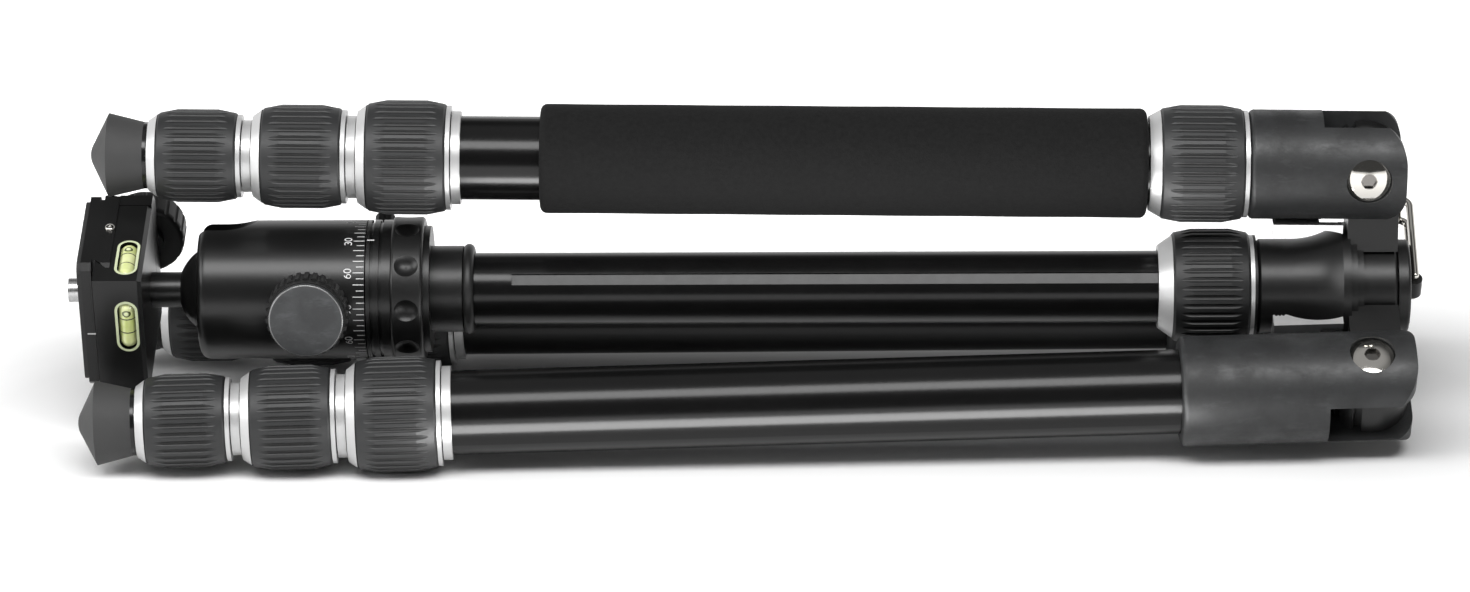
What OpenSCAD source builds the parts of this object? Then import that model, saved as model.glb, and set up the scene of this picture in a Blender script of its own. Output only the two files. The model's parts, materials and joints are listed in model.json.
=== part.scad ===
// Travel tripod, folded, with its three legs turned back beside the ball head.
// The column lies along X, with the head at -X and the leg hinges at +X.
// The tripod lies on its front and rear legs, and +Z is up.

/* [Leg tubes] */
// Outside diameter of the widest leg tube
leg_tube_d = 22; // [20:0.5:26]
// Wall of every leg tube
leg_wall = 1.1; // [0.9:0.1:1.5]
// Running gap round each sliding section
slide_gap = 0.3; // [0.2:0.05:0.4]
// Distance from the hinge to the first collar of the top leg
top_leg_reach = 236.9; // [220:0.5:260]
// How much longer the two lower legs are up to that collar
low_leg_extra = 2; // [0:0.5:6]
// Distance from the hinge to the upper end of the inner tubes
inner_tube_start = 48; // [47:0.5:60]
// How far each narrower tube starts below the wider one
inner_tube_stagger = 1; // [0.5:0.5:3]

/* [Twist locks] */
// Visible length of a tube's end collar
collar_len = 2.3; // [1.5:0.1:4]
// How far a collar stands out from its tube
collar_proud = 1.25; // [0.8:0.05:1.8]
// Length of the bright ring at the upper end of a lock
ring_len = 1.1; // [0.8:0.1:2]
// How far the bright ring stands out from the tube
ring_proud = 2.7; // [2.4:0.1:3.2]
// Length of a rubber grip
grip_len = 21.1; // [18:0.1:26]
// How far a grip's crown stands out from the tube
crown_proud = 4; // [3.6:0.1:4.6]
// Fall of the crown from its middle to its ends
crown_fall = 0.9; // [0.5:0.1:1.2]
// Radius of the seat that carries the rubber, beyond the tube
seat_proud = 1.7; // [1.4:0.1:2]
// Length of the bright cone at the lower end of a lock
cone_len = 2.3; // [1.5:0.1:4]
// Fall in radius along the cone
cone_fall = 1.6; // [1:0.1:2.2]
// Length of tube that reaches into its lock
thread_len = 17; // [14:0.5:18]
// Gap between a lock and its neighbours along the leg
end_gap = 0.3; // [0.2:0.05:0.5]
// Number of flutes round the widest grip
flute_count = 40; // [24:1:48]
// Radius of one flute
flute_r = 0.75; // [0.5:0.05:0.9]
// Depth of a flute at the middle of the crown
flute_depth = 0.6; // [0.3:0.05:0.8]

/* [Feet] */
// Diameter of a rubber foot where it meets the leg
foot_neck_d = 17.5; // [16:0.1:19]
// Diameter of a rubber foot at its widest
foot_d = 22; // [19:0.5:24]
// Length of the foot up to its widest place
foot_body_len = 9.3; // [7:0.1:14]
// Height of the conical nose
foot_nose_len = 4.8; // [3:0.1:7]
// Length of the narrow ring above the foot
foot_ring_len = 0.9; // [0.6:0.1:2]

/* [Leg hinges] */
// Distance of each hinge from the column's axis
hinge_radius = 33.8; // [33:0.1:38]
// Angle at which the top leg stands off the column
splay_top = 0.7; // [0.3:0.1:2]
// Angle at which the two lower legs stand off the column
splay_low = 1.9; // [1.7:0.1:2.6]
// Diameter of a fork
fork_d = 28.7; // [28:0.1:31]
// Width of the slot between a fork's ears
fork_slot_w = 13.6; // [12:0.1:14]
// Depth of that slot beyond the hinge
fork_slot_depth = 11.6; // [11.2:0.1:13]
// Length of a fork beyond the hinge, on the open side
ear_len = 9.8; // [9:0.1:12]
// How much longer the lower forks' ears are
low_ear_extra = 1.6; // [0:0.1:2]
// Corner radius of an ear seen from the side
ear_corner_r = 10; // [5:0.5:12]
// Length of the top leg's fork below the hinge
top_barrel_len = 30.7; // [30.2:0.1:34]
// Length of the lower legs' forks below the hinge
low_barrel_len = 49.6; // [40:0.2:60]
// Edge rounding of a fork
fork_edge_r = 1.4; // [0.5:0.1:2]
// Distance from the hinge to the tube's seat in its fork
tube_seat = 18; // [16:0.5:20]
// Radius of a pivot bolt
pivot_r = 3; // [2.5:0.1:3.5]
// Radius of a bolt head
bolt_head_r = 5.65; // [5:0.05:6.2]
// Height of a bolt head
bolt_head_h = 2; // [1.5:0.1:2.5]
// Running clearance on a pivot
pivot_gap = 0.05; // [0.02:0.01:0.1]

/* [Angle stops] */
// Thickness of a stop tab
tab_t = 3.6; // [2.5:0.1:3.8]
// Width of a stop tab
tab_w = 19; // [17.5:0.5:20]
// Length of a stop tab
tab_len = 18.2; // [16:0.1:20]
// Distance from the hinge to the tab's near end
tab_start = 6; // [5:0.5:8]
// How far a tab slides to release its leg
tab_travel = 5; // [3:0.5:6]

/* [Monopod coupling] */
// Diameter of the bright ring on the coupling
coupling_ring_d = 28; // [27.4:0.1:29]
// Crown diameter of the coupling's grip
coupling_crown_d = 30.7; // [30:0.1:32]
// Length of the coupling's grip
coupling_grip_len = 21.8; // [18:0.1:24]
// Length of the stud that stays in the fork, beyond the fork
stud_len = 13; // [10:0.5:14]

/* [Foam grip] */
// Diameter of the foam grip
foam_d = 28.7; // [26:0.1:31]
// Length of bare tube between the foam grip and the first collar
foam_bare_len = 20.8; // [15:0.1:60]
// Edge rounding of the foam grip
foam_edge_r = 1.8; // [0.5:0.1:2.5]

/* [Spider] */
// Position of the hinges along the column
hinge_x = 143.5; // [130:0.5:160]
// Outside radius of the hub
hub_r = 12.5; // [12.4:0.1:13.2]
// Width of a hinge lug
lug_w = 13; // [11:0.1:13]
// Radius of a lug's eye
lug_eye_r = 10.2; // [9:0.1:10.6]
// Length of a lug's web along the column
lug_web_len = 13.2; // [11:0.1:14]
// Distance from the hinge to the hub's end face
hub_end = 8.6; // [8:0.1:10]
// Distance from the hinge to the hub's shoulder
hub_shoulder = 27.9; // [26:0.1:30]
// Distance from the hinge back to where the hub begins to flare
bell_start = 18.5; // [17:0.1:20]
// Distance from the hinge back to the rim of the flare
bell_end = 6; // [5.8:0.1:8]
// Radius of the flare's concave curve
bell_curve_r = 20; // [19:0.5:26]

/* [Column] */
// Distance from the hinges to the upper end of the column tube
column_reach = 234; // [228:0.5:240]
// Outside diameter of the column tube
column_d = 19; // [18:0.1:20]
// Wall of the column tube
column_wall = 1.2; // [1:0.1:1.6]
// Width of the anti-twist groove
groove_w = 3; // [2:0.1:4]
// Depth of the anti-twist groove
groove_depth = 0.7; // [0.4:0.1:0.8]
// Radius of the column lock's bright ring
column_ring_r = 13.5; // [13.3:0.1:14]
// Crown radius of the column lock's grip
column_crown_r = 15.2; // [14.6:0.1:15.5]
// Length of the column lock's grip
column_grip_len = 20.3; // [18:0.1:24]
// Radius of the end cap
cap_r = 12.2; // [11:0.1:13]
// Thickness of the end cap
cap_t = 3.2; // [2.5:0.1:5]

/* [Bag hook] */
// Diameter of the hook's wire
wire_d = 2; // [1.6:0.1:2.4]
// Reach of the hook from its pivot
hook_reach = 26; // [20:0.5:28]
// Distance between the hook's two wires, centre to centre
hook_w = 8.4; // [8:0.1:10]
// Length of the bent tip
hook_tip = 5; // [4.5:0.1:5.5]

/* [Head base] */
// Radius of the cylinder at the top of the column
base_r = 11.4; // [10.8:0.1:12.5]
// Length of that cylinder
base_len = 10; // [8:0.1:14]
// Thickness of the O-ring
o_ring_t = 3; // [2:0.1:4]
// Radius of the dimpled flange
flange_r = 19.1; // [18:0.1:19.4]
// Thickness of the dimpled flange
flange_t = 8.5; // [7:0.1:10]
// Thickness of the step behind that flange
flange_step_t = 1.6; // [1:0.1:2.4]
// Number of finger dimples
dimple_count = 10; // [6:1:12]
// Radius of a finger dimple's ball
dimple_r = 4.5; // [3.5:0.1:4.6]
// Radius of the panning base
pan_base_r = 18.3; // [17:0.1:18.6]
// Height of the panning base
pan_base_t = 6.4; // [6.4:0.1:8]

/* [Ball head] */
// Radius of the ball housing
housing_r = 18.3; // [17.8:0.1:18.6]
// Length of the ball housing
housing_len = 44.2; // [40:0.1:50]
// Radius of the ball
ball_r = 12.5; // [12:0.1:13]
// Distance from the housing's front to the ball's centre
ball_depth = 6.4; // [6:0.1:7]
// Radius of the housing's front opening
mouth_r = 11; // [10.8:0.1:11.4]
// Edge rounding of the housing's front
shoulder_r = 2.6; // [1:0.1:3]
// Radius of the stem
stem_r = 4.65; // [4:0.05:4.8]
// Distance from the ball's centre to the clamp
stem_len = 19.5; // [19:0.1:22]
// Radius of the ball lock knob
knob_r = 10.8; // [9:0.1:11]
// Radius of the ball lock knob's face
knob_face_r = 9.8; // [8:0.1:9.8]
// Distance from the axis to the ball lock knob's face
knob_reach = 29; // [28:0.1:30]
// Number of teeth on the ball lock knob
knob_teeth = 30; // [16:2:36]

/* [Clamp] */
// Half length of the clamp along its dovetail
clamp_half_len = 19; // [18:0.1:19.5]
// Distance from the axis to the fixed jaw's side
fixed_side = 23.5; // [22:0.1:24.5]
// Distance from the axis to the moving jaw's side
moving_side = 20.5; // [20:0.1:22]
// Thickness of the clamp under the plate
clamp_floor_t = 8.6; // [8:0.1:10]
// Height of the jaws above that floor
jaw_h = 4; // [3.5:0.1:4.5]
// Chamfer on the moving jaw's corners
jaw_chamfer = 4; // [2:0.1:5]
// Radius of the clamp knob
clamp_knob_r = 10.5; // [8:0.1:11]
// Length of the clamp knob
clamp_knob_len = 9; // [7:0.1:10]
// Number of grooves in the clamp knob
clamp_knob_grooves = 20; // [12:1:24]
// Diameter of a bubble vial
vial_d = 4.8; // [4:0.1:5]
// Length of a bubble vial
vial_len = 15; // [12:0.1:15.5]

/* [Plate] */
// Length of the plate along the dovetail
plate_len = 38.6; // [36:0.1:39]
// Width of the plate
plate_w = 34; // [32:0.1:34.4]
// Height of the plate's dovetail foot
dovetail_h = 5; // [4.7:0.1:5.5]
// How far the dovetail's neck is cut in on each side
dovetail_cut = 3; // [2:0.1:3.4]
// Height of the plate's top block
plate_top_t = 2.7; // [2:0.1:4]
// Thickness of the rubber pad
pad_t = 1.2; // [1:0.1:2]
// Radius of the camera screw
screw_r = 3.175; // [3.1:0.005:3.25]
// Length of screw that stands out of the pad
screw_len = 4.5; // [4:0.1:5.5]

/* [Turned angles] */
// Direction of the column's groove, from the top leg towards the front leg
groove_angle = 55; // [50:1:60]
// Direction of the ball lock knob
knob_angle = 86; // [80:1:86]
// Direction of the pan lock knob
pan_knob_angle = 300; // [296:1:304]
// Direction of the housing's drop notch
notch_angle = 346; // [340:1:350]
// Direction of the clamp's dovetail
clamp_angle = 14; // [12:1:16]
// Direction in which the bag hook lies
hook_angle = 300; // [298:1:302]
// Direction of one finger dimple
dimple_angle = 51; // [0:1:72]

/* [Hidden] */

$fn = 96;
fine = 360;
small = 32;
over = 1;

// Direction of each leg, turned about X from +Z towards -Y
top_angle = 0;
front_angle = 120;
rear_angle = 240;

// Leg tubes
function tube_r(i) = leg_tube_d/2 - (i - 1)*(leg_wall + slide_gap);
function bore_r(i) = tube_r(i) - leg_wall;

// Stations along a leg, measured from its hinge; low is 1 for a lower leg and 0 for the top leg
lock_len = ring_len + grip_len + cone_len;
lock_pitch = collar_len + end_gap + lock_len + end_gap;
function collar_at(i, low) = top_leg_reach + low*low_leg_extra + (i - 1)*lock_pitch;
function lock_at(i, low) = collar_at(i, low) + collar_len + end_gap;
function tube_end(i, low) = lock_at(i, low) + thread_len;
function foot_ring_at(low) = lock_at(3, low) + lock_len + end_gap;
function foot_at(low) = foot_ring_at(low) + foot_ring_len;
function inner_start(i) = inner_tube_start + (i - 2)*inner_tube_stagger;
collar_gap = slide_gap;
taper_share = 0.25;
crown_cut_share = 0.7;

// Feet
foot_tip_share = 0.29;
foot_cap_share = 0.19;

// Forks
fork_r = fork_d/2;
ear_inset_share = 0.07;
ear_half = fork_r*(1 - ear_inset_share);
counterbore_r = bolt_head_r + slide_gap;
hex_r_share = 0.38;
hex_depth_share = 0.6;

// Monopod coupling
coupling_at = top_barrel_len + end_gap;
stud_end = top_barrel_len + stud_len;
top_tube_start = stud_end + end_gap;
coupling_cone_share = 1.25;
coupling_cone_len = cone_len*coupling_cone_share;
coupling_end = coupling_at + ring_len + coupling_grip_len + coupling_cone_len;
foam_at = coupling_end + end_gap*2;
foam_len = top_leg_reach - foam_bare_len - foam_at;

// Stop tabs, in the frame of their leg
tab_top = fork_r - tab_t/4;
tab_tongue_share = 0.42;
tab_tongue_w = tab_w*tab_tongue_share;
tab_tongue_end = leg_tube_d/2 + slide_gap*2;
tab_notch_w = lug_w + slide_gap*4;
tab_notch_len = lug_eye_r - tab_start + slide_gap*6;
tab_lip_share = 0.2;
tab_lip_len = tab_len*tab_lip_share;
tab_hollow_share = 0.6;
tab_hollow_depth = tab_t*tab_hollow_share;
tab_hollow_half = (tab_len - tab_lip_len)*tab_hollow_share;
tab_hollow_r = (tab_hollow_half*tab_hollow_half + tab_hollow_depth*tab_hollow_depth)/(2*tab_hollow_depth);

// Column and its lock
column_r = column_d/2;
sleeve_r = column_r + slide_gap;
hub_start = hinge_x - hub_shoulder;
hub_x_end = hinge_x + hub_end;
nose_wall = 1.4;
nose_r = sleeve_r + nose_wall;
bush_r = nose_r;
bell_depth = bell_start - bell_end;
bell_rim_r = hub_r + bell_curve_r - sqrt(bell_curve_r*bell_curve_r - bell_depth*bell_depth);
bell_rim_len = nose_wall*1.5;
column_lock_share = 1.6;
column_ring_len = ring_len*column_lock_share;
column_cone_len = cone_len*column_lock_share;
column_cone_fall = cone_fall*column_lock_share;
column_seat_r = nose_r + nose_wall;
column_lock_end = hub_start - end_gap;
column_lock_len = column_ring_len + column_grip_len + column_cone_len;
column_lock_start = column_lock_end - column_lock_len;
cap_x = hub_x_end + end_gap;
cap_plug_len = cap_t*5/2;
column_start = hinge_x - column_reach;

// Steps on a lug that the stop tab drops into
stop_angles = [20, 55, 90];
stop_notch_share = 0.22;
stop_notch_w = lug_eye_r*stop_notch_share;
stop_notch_depth = stop_notch_w*2/3;

// Hook
hook_stand_share = 0.9;
hook_bend_share = 1.2;
hook_x = cap_x + cap_t + wire_d*hook_stand_share;
hook_boss_w = hook_w - wire_d - slide_gap*2;
hook_boss_r = wire_d;
hook_pin_r = wire_d/2;

// Head stations along X, each from the last one
base_x = column_start - o_ring_t;
flange_x = base_x - base_len;
pan_x = flange_x - flange_t;
housing_x = pan_x - pan_base_t - end_gap;
front_x = housing_x - housing_len;
ball_x = front_x + ball_depth;
clamp_x = ball_x - stem_len;
plate_x = clamp_x - clamp_floor_t;
pad_x = plate_x - dovetail_h - plate_top_t;
face_x = pad_x - pad_t;
tip_x = face_x - screw_len;
knob_stand_share = 1.864;
knob_x = ball_x + ball_r*knob_stand_share;
socket_r = ball_r + slide_gap;
seat_r = socket_r + slide_gap;
cavity_x = ball_x + ball_r/2;
boss_share = 0.6;
boss_r = knob_r*boss_share;
boss_stand_share = 0.16;
boss_reach = housing_r + knob_r*boss_stand_share;
knob_collar_share = 0.47;
knob_collar_len = knob_r*knob_collar_share;
knob_dome_share = 0.14;
knob_seat_share = 0.08;
knob_cone_end = knob_reach - knob_r*knob_dome_share;
knob_disc_at = knob_cone_end - knob_r*knob_seat_share;
lock_screw_share = 0.6;
lock_screw_r = stem_r*lock_screw_share;
lock_depth_share = 0.7;
lock_screw_at = seat_r*lock_depth_share;
flange_step_share = 0.875;
flange_edge_share = 0.12;
dimple_share = 0.71;
plug_share = 0.8;
seat_share = 0.8;
drop_flare_share = 0.52;
pan_spigot_share = 0.45;
pan_groove_shares = [0.36, 0.72];
pan_knob_share = 0.42;
pan_knob_reach_share = 1.36;
pan_knob_grooves = 12;

// Clamp
base_side = moving_side - dovetail_cut*3;
jaw_side = base_side + slide_gap;
clamp_screw_share = 0.54;
clamp_screw_r = stem_r*clamp_screw_share;
clamp_screw_height_share = 0.45;
clamp_screw_x = clamp_x - clamp_floor_t*clamp_screw_height_share;
clamp_screw_at = base_side*lock_screw_share;
vial_x = clamp_x - clamp_floor_t/2;
window_w = vial_d + slide_gap*2;
window_len = vial_len + slide_gap*2;
end_vial_share = 0.67;
end_vial_at = clamp_half_len*end_vial_share;
side_vial_share = 0.24;
side_vial_at = clamp_half_len*side_vial_share;
spigot_share = 0.65;
spigot_r = stem_r*spigot_share;
spigot_len_share = 0.6;
spigot_len = clamp_floor_t*spigot_len_share;
groove_share = 0.42;

// Plate and camera screw
plate_corner_share = 0.047;
plate_corner = plate_w*plate_corner_share;
screw_head_share = 2.6;
screw_head_r = screw_r*screw_head_share;
screw_seat_share = 0.7;
screw_head_x = plate_x - dovetail_h*screw_seat_share;
screw_head_len_share = 0.45;
screw_head_t = dovetail_h*screw_head_len_share;
screw_neck_share = 0.86;
coin_slot_share = 0.24;

// The tripod stands with the middle of its box over the origin and its lowest grips on the floor
box_low_x = tip_x;
box_high_x = hook_x + hook_boss_r;
grip_mid = lock_at(1, 1) + ring_len + grip_len/2;
floor_drop = (hinge_radius + grip_mid*sin(splay_low))*cos(180 - front_angle)
    + tube_r(1) + crown_proud;

// Whole model, from column coordinates to the resting place
module placed() {
    translate([-(box_low_x + box_high_x)/2, 0, floor_drop]) children();
}

// Frame along the column: local z runs towards the head from the given x
module along_column(x) {
    placed() translate([x, 0, 0]) rotate([0, -90, 0]) children();
}

// Frame on one leg: local z runs from the hinge to the foot, local x points away from the column
module on_leg(angle, splay) {
    placed() translate([hinge_x, 0, 0]) rotate([angle, 0, 0]) translate([0, 0, hinge_radius])
        rotate([0, splay, 0]) rotate([0, -90, 0]) children();
}

// Frame pointing out from the column's axis: local z runs outwards at the given angle
module outward(x, angle) {
    placed() translate([x, 0, 0]) rotate([angle, 0, 0]) children();
}

// Tube or ring along z
module ring(r_out, r_in, z, len) {
    translate([0, 0, z]) difference() {
        cylinder(r = r_out, h = len);
        translate([0, 0, -over]) cylinder(r = r_in, h = len + 2*over);
    }
}

// Rounded bar profile for a revolve: radius r, from z to z + len, with its far edge rounded
module edge_profile(r, len, edge_r, both) {
    low_r = both ? edge_r : 0;
    translate([0, low_r]) square([r, len - edge_r - low_r]);
    square([r - edge_r, len]);
    translate([r - edge_r, len - edge_r]) circle(r = edge_r);
    if (both) translate([r - edge_r, edge_r]) circle(r = edge_r);
}

// Crowned outline of a rubber grip: a straight middle and two tapered ends
module crown_profile(seat, crown, len) {
    end_r = crown - crown_fall;
    end_cut = crown_fall*crown_cut_share;
    taper = len*taper_share;
    polygon([[seat, 0], [end_r - end_cut, 0], [end_r, end_cut], [crown, taper], [crown, len - taper],
        [end_r, len - end_cut], [end_r - end_cut, len], [seat, len]]);
}

// Rubber grip with flutes that fade out at both ends
module grip(seat, crown, len, flutes) {
    difference() {
        rotate_extrude() crown_profile(seat, crown, len);
        for (i = [0:flutes - 1]) rotate([0, 0, i*360/flutes])
            translate([crown - flute_depth + flute_r, 0, -over])
                cylinder(r = flute_r, h = len + 2*over, $fn = 24);
    }
}

// Metal nut of a twist lock: bright ring, seat for the rubber, bright cone
module nut_profile(ring_r, seat_r, ring_l, grip_l, cone_l, cone_drop, bore, bore_len, throat) {
    total = ring_l + grip_l + cone_l;
    polygon([[bore, 0], [ring_r, 0], [ring_r, ring_l], [seat_r, ring_l], [seat_r, ring_l + grip_l],
        [ring_r, ring_l + grip_l], [ring_r - cone_drop, total], [throat, total], [throat, bore_len],
        [bore, bore_len]]);
}

// Parts of a leg

module leg_lock(i, angle, splay, low) {
    r = tube_r(i);
    flutes = flute_count - 4*(i - 1);
    on_leg(angle, splay) translate([0, 0, lock_at(i, low)]) {
        color("silver") rotate_extrude()
            nut_profile(r + ring_proud, r + seat_proud, ring_len, grip_len, cone_len, cone_fall,
                r + collar_gap, thread_len + end_gap, bore_r(i));
        color("#3a3b3d") translate([0, 0, ring_len])
            grip(r + seat_proud, r + crown_proud, grip_len, flutes);
    }
}

module leg_tube(i, angle, splay, low, start) {
    color("#222326") on_leg(angle, splay) {
        difference() {
            union() {
                translate([0, 0, start]) cylinder(r = tube_r(i), h = tube_end(i, low) - start);
                translate([0, 0, collar_at(i, low)])
                    cylinder(r = tube_r(i) + collar_proud, h = collar_len);
            }
            translate([0, 0, start - over])
                cylinder(r = bore_r(i), h = tube_end(i, low) - start + 2*over);
        }
    }
}

module leg_last_tube(angle, splay, low) {
    start = inner_start(4);
    color("#222326") on_leg(angle, splay) difference() {
        union() {
            translate([0, 0, start]) cylinder(r = tube_r(4), h = foot_at(low) - start);
            translate([0, 0, foot_ring_at(low)]) cylinder(d = foot_neck_d, h = foot_ring_len);
        }
        translate([0, 0, start - over]) cylinder(r = bore_r(4), h = foot_at(low) - start - foot_ring_len);
    }
}

module leg_foot(angle, splay, low) {
    foot_len = foot_body_len + foot_nose_len;
    tip_r = foot_d/2*foot_tip_share;
    tip_len = foot_nose_len*foot_cap_share;
    dome_r = (tip_r*tip_r + tip_len*tip_len)/(2*tip_len);
    color("#4a4b4d") on_leg(angle, splay) translate([0, 0, foot_at(low)]) rotate_extrude() {
        polygon([[0, 0], [foot_neck_d/2, 0], [foot_d/2, foot_body_len], [tip_r, foot_len - tip_len],
            [0, foot_len - tip_len]]);
        intersection() {
            translate([0, foot_len - dome_r]) circle(r = dome_r, $fn = fine);
            translate([0, foot_len - tip_len]) square([tip_r, tip_len]);
        }
    }
}

// Outline of a fork seen from the side, with its rounded ear end
module fork_side(ear, barrel) {
    translate([-fork_r, ear_corner_r - ear]) square([fork_d, barrel + ear - ear_corner_r]);
    translate([ear_corner_r - fork_r, -ear]) square([fork_d - 2*ear_corner_r, ear_corner_r + over]);
    for (side = [-1, 1])
        translate([side*(fork_r - ear_corner_r), ear_corner_r - ear]) circle(r = ear_corner_r);
}

module leg_fork(angle, splay, low) {
    ear = ear_len + low*low_ear_extra;
    barrel = low ? low_barrel_len : top_barrel_len;
    color("#4b4c4f") on_leg(angle, splay) difference() {
        intersection() {
            translate([0, 0, -ear]) rotate_extrude()
                edge_profile(fork_r, barrel + ear, fork_edge_r, false);
            rotate([90, 0, 0]) linear_extrude(height = fork_d + 2*over, center = true)
                fork_side(ear, barrel + over);
        }
        // Slot for the spider's lug, open on the column side, the end and the outer side
        translate([-fork_d, -fork_slot_w/2, -ear - over])
            cube([2*fork_d, fork_slot_w, ear + over + fork_slot_depth]);
        // Seat of the leg tube
        translate([0, 0, tube_seat]) cylinder(r = leg_tube_d/2, h = barrel);
        rotate([90, 0, 0]) cylinder(r = pivot_r + pivot_gap, h = fork_d + 2*over, center = true);
        for (side = [-1, 1]) rotate([side*90, 0, 0]) translate([0, 0, ear_half - bolt_head_h - end_gap])
            cylinder(r = counterbore_r, h = fork_d);
        // Flat and guide slot for the stop tab
        translate([-fork_d - tab_top + slide_gap, -tab_w/2 - slide_gap, tab_start - slide_gap])
            cube([fork_d, tab_w + 2*slide_gap, tab_len + tab_travel + 2*slide_gap]);
        translate([-fork_d - tab_tongue_end + slide_gap, -tab_tongue_w/2 - slide_gap,
            fork_slot_depth - over])
            cube([fork_d, tab_tongue_w + 2*slide_gap,
                tab_start + tab_len + tab_travel + slide_gap - fork_slot_depth + over]);
    }
}

module leg_tab(angle, splay) {
    groove_r = tab_lip_len/9;
    tongue_start = fork_slot_depth + slide_gap;
    color("#d8d8da") on_leg(angle, splay) difference() {
        union() {
            translate([-tab_top - tab_t, -tab_w/2, tab_start]) cube([tab_t, tab_w, tab_len]);
            translate([-tab_top - over, -tab_tongue_w/2, tongue_start])
                cube([tab_top - tab_tongue_end + over, tab_tongue_w, tab_start + tab_len - tongue_start]);
        }
        // Notch that straddles the lug
        translate([-fork_d, -tab_notch_w/2, tab_start - over])
            cube([fork_d, tab_notch_w, tab_notch_len + over]);
        // Finger hollow, and grooves across the lip behind it
        translate([tab_hollow_depth - tab_hollow_r - tab_top - tab_t, 0,
            tab_start + tab_len - tab_lip_len - tab_hollow_half])
            rotate([90, 0, 0]) cylinder(r = tab_hollow_r, h = tab_w + 2*over, center = true);
        for (i = [1:3]) translate([-tab_top - tab_t, 0, tab_start + tab_len - tab_lip_len*i/4])
            rotate([90, 0, 0]) cylinder(r = groove_r, h = tab_w + 2*over, center = true, $fn = 24);
    }
}

module monopod_stud() {
    color("#8d8e92") on_leg(top_angle, splay_top)
        ring(leg_tube_d/2, bore_r(1), tube_seat, stud_end - tube_seat);
}

module monopod_ring() {
    seat = leg_tube_d/2 + seat_proud;
    on_leg(top_angle, splay_top) translate([0, 0, coupling_at]) {
        color("silver") rotate_extrude()
            nut_profile(coupling_ring_d/2, seat, ring_len, coupling_grip_len, coupling_cone_len,
                cone_fall, leg_tube_d/2 + collar_gap, coupling_grip_len, leg_tube_d/2 + collar_gap);
        color("#3a3b3d") translate([0, 0, ring_len])
            grip(seat, coupling_crown_d/2, coupling_grip_len, flute_count);
    }
}

module foam_grip() {
    color("#1b1b1c") on_leg(top_angle, splay_top) translate([0, 0, foam_at]) difference() {
        rotate_extrude() edge_profile(foam_d/2, foam_len, foam_edge_r, true);
        translate([0, 0, -over]) cylinder(d = leg_tube_d, h = foam_len + 2*over);
    }
}

// Spider, its bush and the pivot bolts

module lug_side() {
    translate([hinge_x, hinge_radius]) circle(r = lug_eye_r);
    translate([hinge_x + hub_end - lug_web_len, bush_r + nose_wall/2])
        square([lug_web_len, hinge_radius - bush_r - nose_wall/2]);
}

// Half section of the hub: threaded nose, barrel, concave flare with its rim, and two steps
module hub_profile() {
    nose_start = column_lock_start + cone_len*2;
    edge = nose_wall/2;
    flare = hinge_x - bell_start;
    rim = hinge_x - bell_end;
    step = nose_wall*1.25;
    fall = (bell_rim_r - hub_r)/3;
    difference() {
        polygon([[sleeve_r, nose_start], [nose_r, nose_start], [nose_r, hub_start],
            [hub_r - edge, hub_start], [hub_r, hub_start + edge], [hub_r, flare], [bell_rim_r, flare],
            [bell_rim_r, rim + bell_rim_len], [bell_rim_r - fall, rim + bell_rim_len],
            [bell_rim_r - fall, rim + bell_rim_len + step], [bell_rim_r - 2*fall, rim + bell_rim_len + step],
            [bell_rim_r - 2*fall, rim + bell_rim_len + 2*step], [hub_r, rim + bell_rim_len + 2*step],
            [hub_r, hub_x_end - edge], [hub_r - edge, hub_x_end],
            [bush_r, hub_x_end], [bush_r, hub_start + nose_wall*2], [sleeve_r, hub_start + nose_wall*2]]);
        translate([hub_r + bell_curve_r, flare]) circle(r = bell_curve_r, $fn = fine/2);
    }
}

module spider() {
    color("#141416") difference() {
        placed() union() {
            rotate([0, 90, 0]) rotate_extrude() hub_profile();
            for (angle = [top_angle, front_angle, rear_angle]) rotate([angle, 0, 0])
                rotate([90, 0, 0]) linear_extrude(height = lug_w, center = true) lug_side();
        }
        for (angle = [top_angle, front_angle, rear_angle])
            placed() rotate([angle, 0, 0]) translate([hinge_x, 0, hinge_radius]) {
                rotate([90, 0, 0]) cylinder(r = pivot_r + pivot_gap, h = fork_d, center = true);
                // Steps that the stop tab drops into
                for (step = stop_angles) rotate([0, -step, 0])
                    translate([-stop_notch_w/2, -fork_r, lug_eye_r - stop_notch_depth])
                        cube([stop_notch_w, fork_d, stop_notch_w]);
            }
    }
}

module column_bush() {
    key_w = groove_w - 2*slide_gap;
    color("#2c2d30") placed() {
        difference() {
            translate([hub_start + nose_wall*2, 0, 0]) rotate([0, 90, 0])
                cylinder(r = bush_r, h = hub_x_end - hub_start - nose_wall*2);
            translate([hub_start, 0, 0]) rotate([0, 90, 0]) cylinder(r = sleeve_r, h = hub_x_end);
        }
        // Key in the column's groove
        rotate([groove_angle, 0, 0]) translate([hub_start + nose_wall*2, -key_w/2, column_r - groove_depth/2])
            cube([hub_x_end - hub_start - nose_wall*2, key_w, bush_r - column_r]);
    }
}

module pivot_bolt() {
    shank = ear_half - bolt_head_h;
    dome_r = (bolt_head_r*bolt_head_r + bolt_head_h*bolt_head_h/4)/bolt_head_h;
    difference() {
        union() {
            cylinder(r = pivot_r, h = 2*shank + over, center = true);
            for (side = [0, 1]) mirror([0, 0, side]) translate([0, 0, shank]) rotate_extrude() {
                square([bolt_head_r, bolt_head_h/2]);
                intersection() {
                    translate([0, bolt_head_h - dome_r]) circle(r = dome_r, $fn = fine);
                    square([bolt_head_r, bolt_head_h]);
                }
            }
        }
        for (side = [0, 1]) mirror([0, 0, side])
            translate([0, 0, ear_half - bolt_head_h*hex_depth_share])
                cylinder(r = bolt_head_r*hex_r_share, h = bolt_head_h, $fn = 6);
    }
}

module pivot_bolts() {
    color("#c9cacd") for (angle = [top_angle, front_angle, rear_angle])
        placed() rotate([angle, 0, 0]) translate([hinge_x, 0, hinge_radius]) rotate([90, 0, 0]) pivot_bolt();
}

// Column

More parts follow.
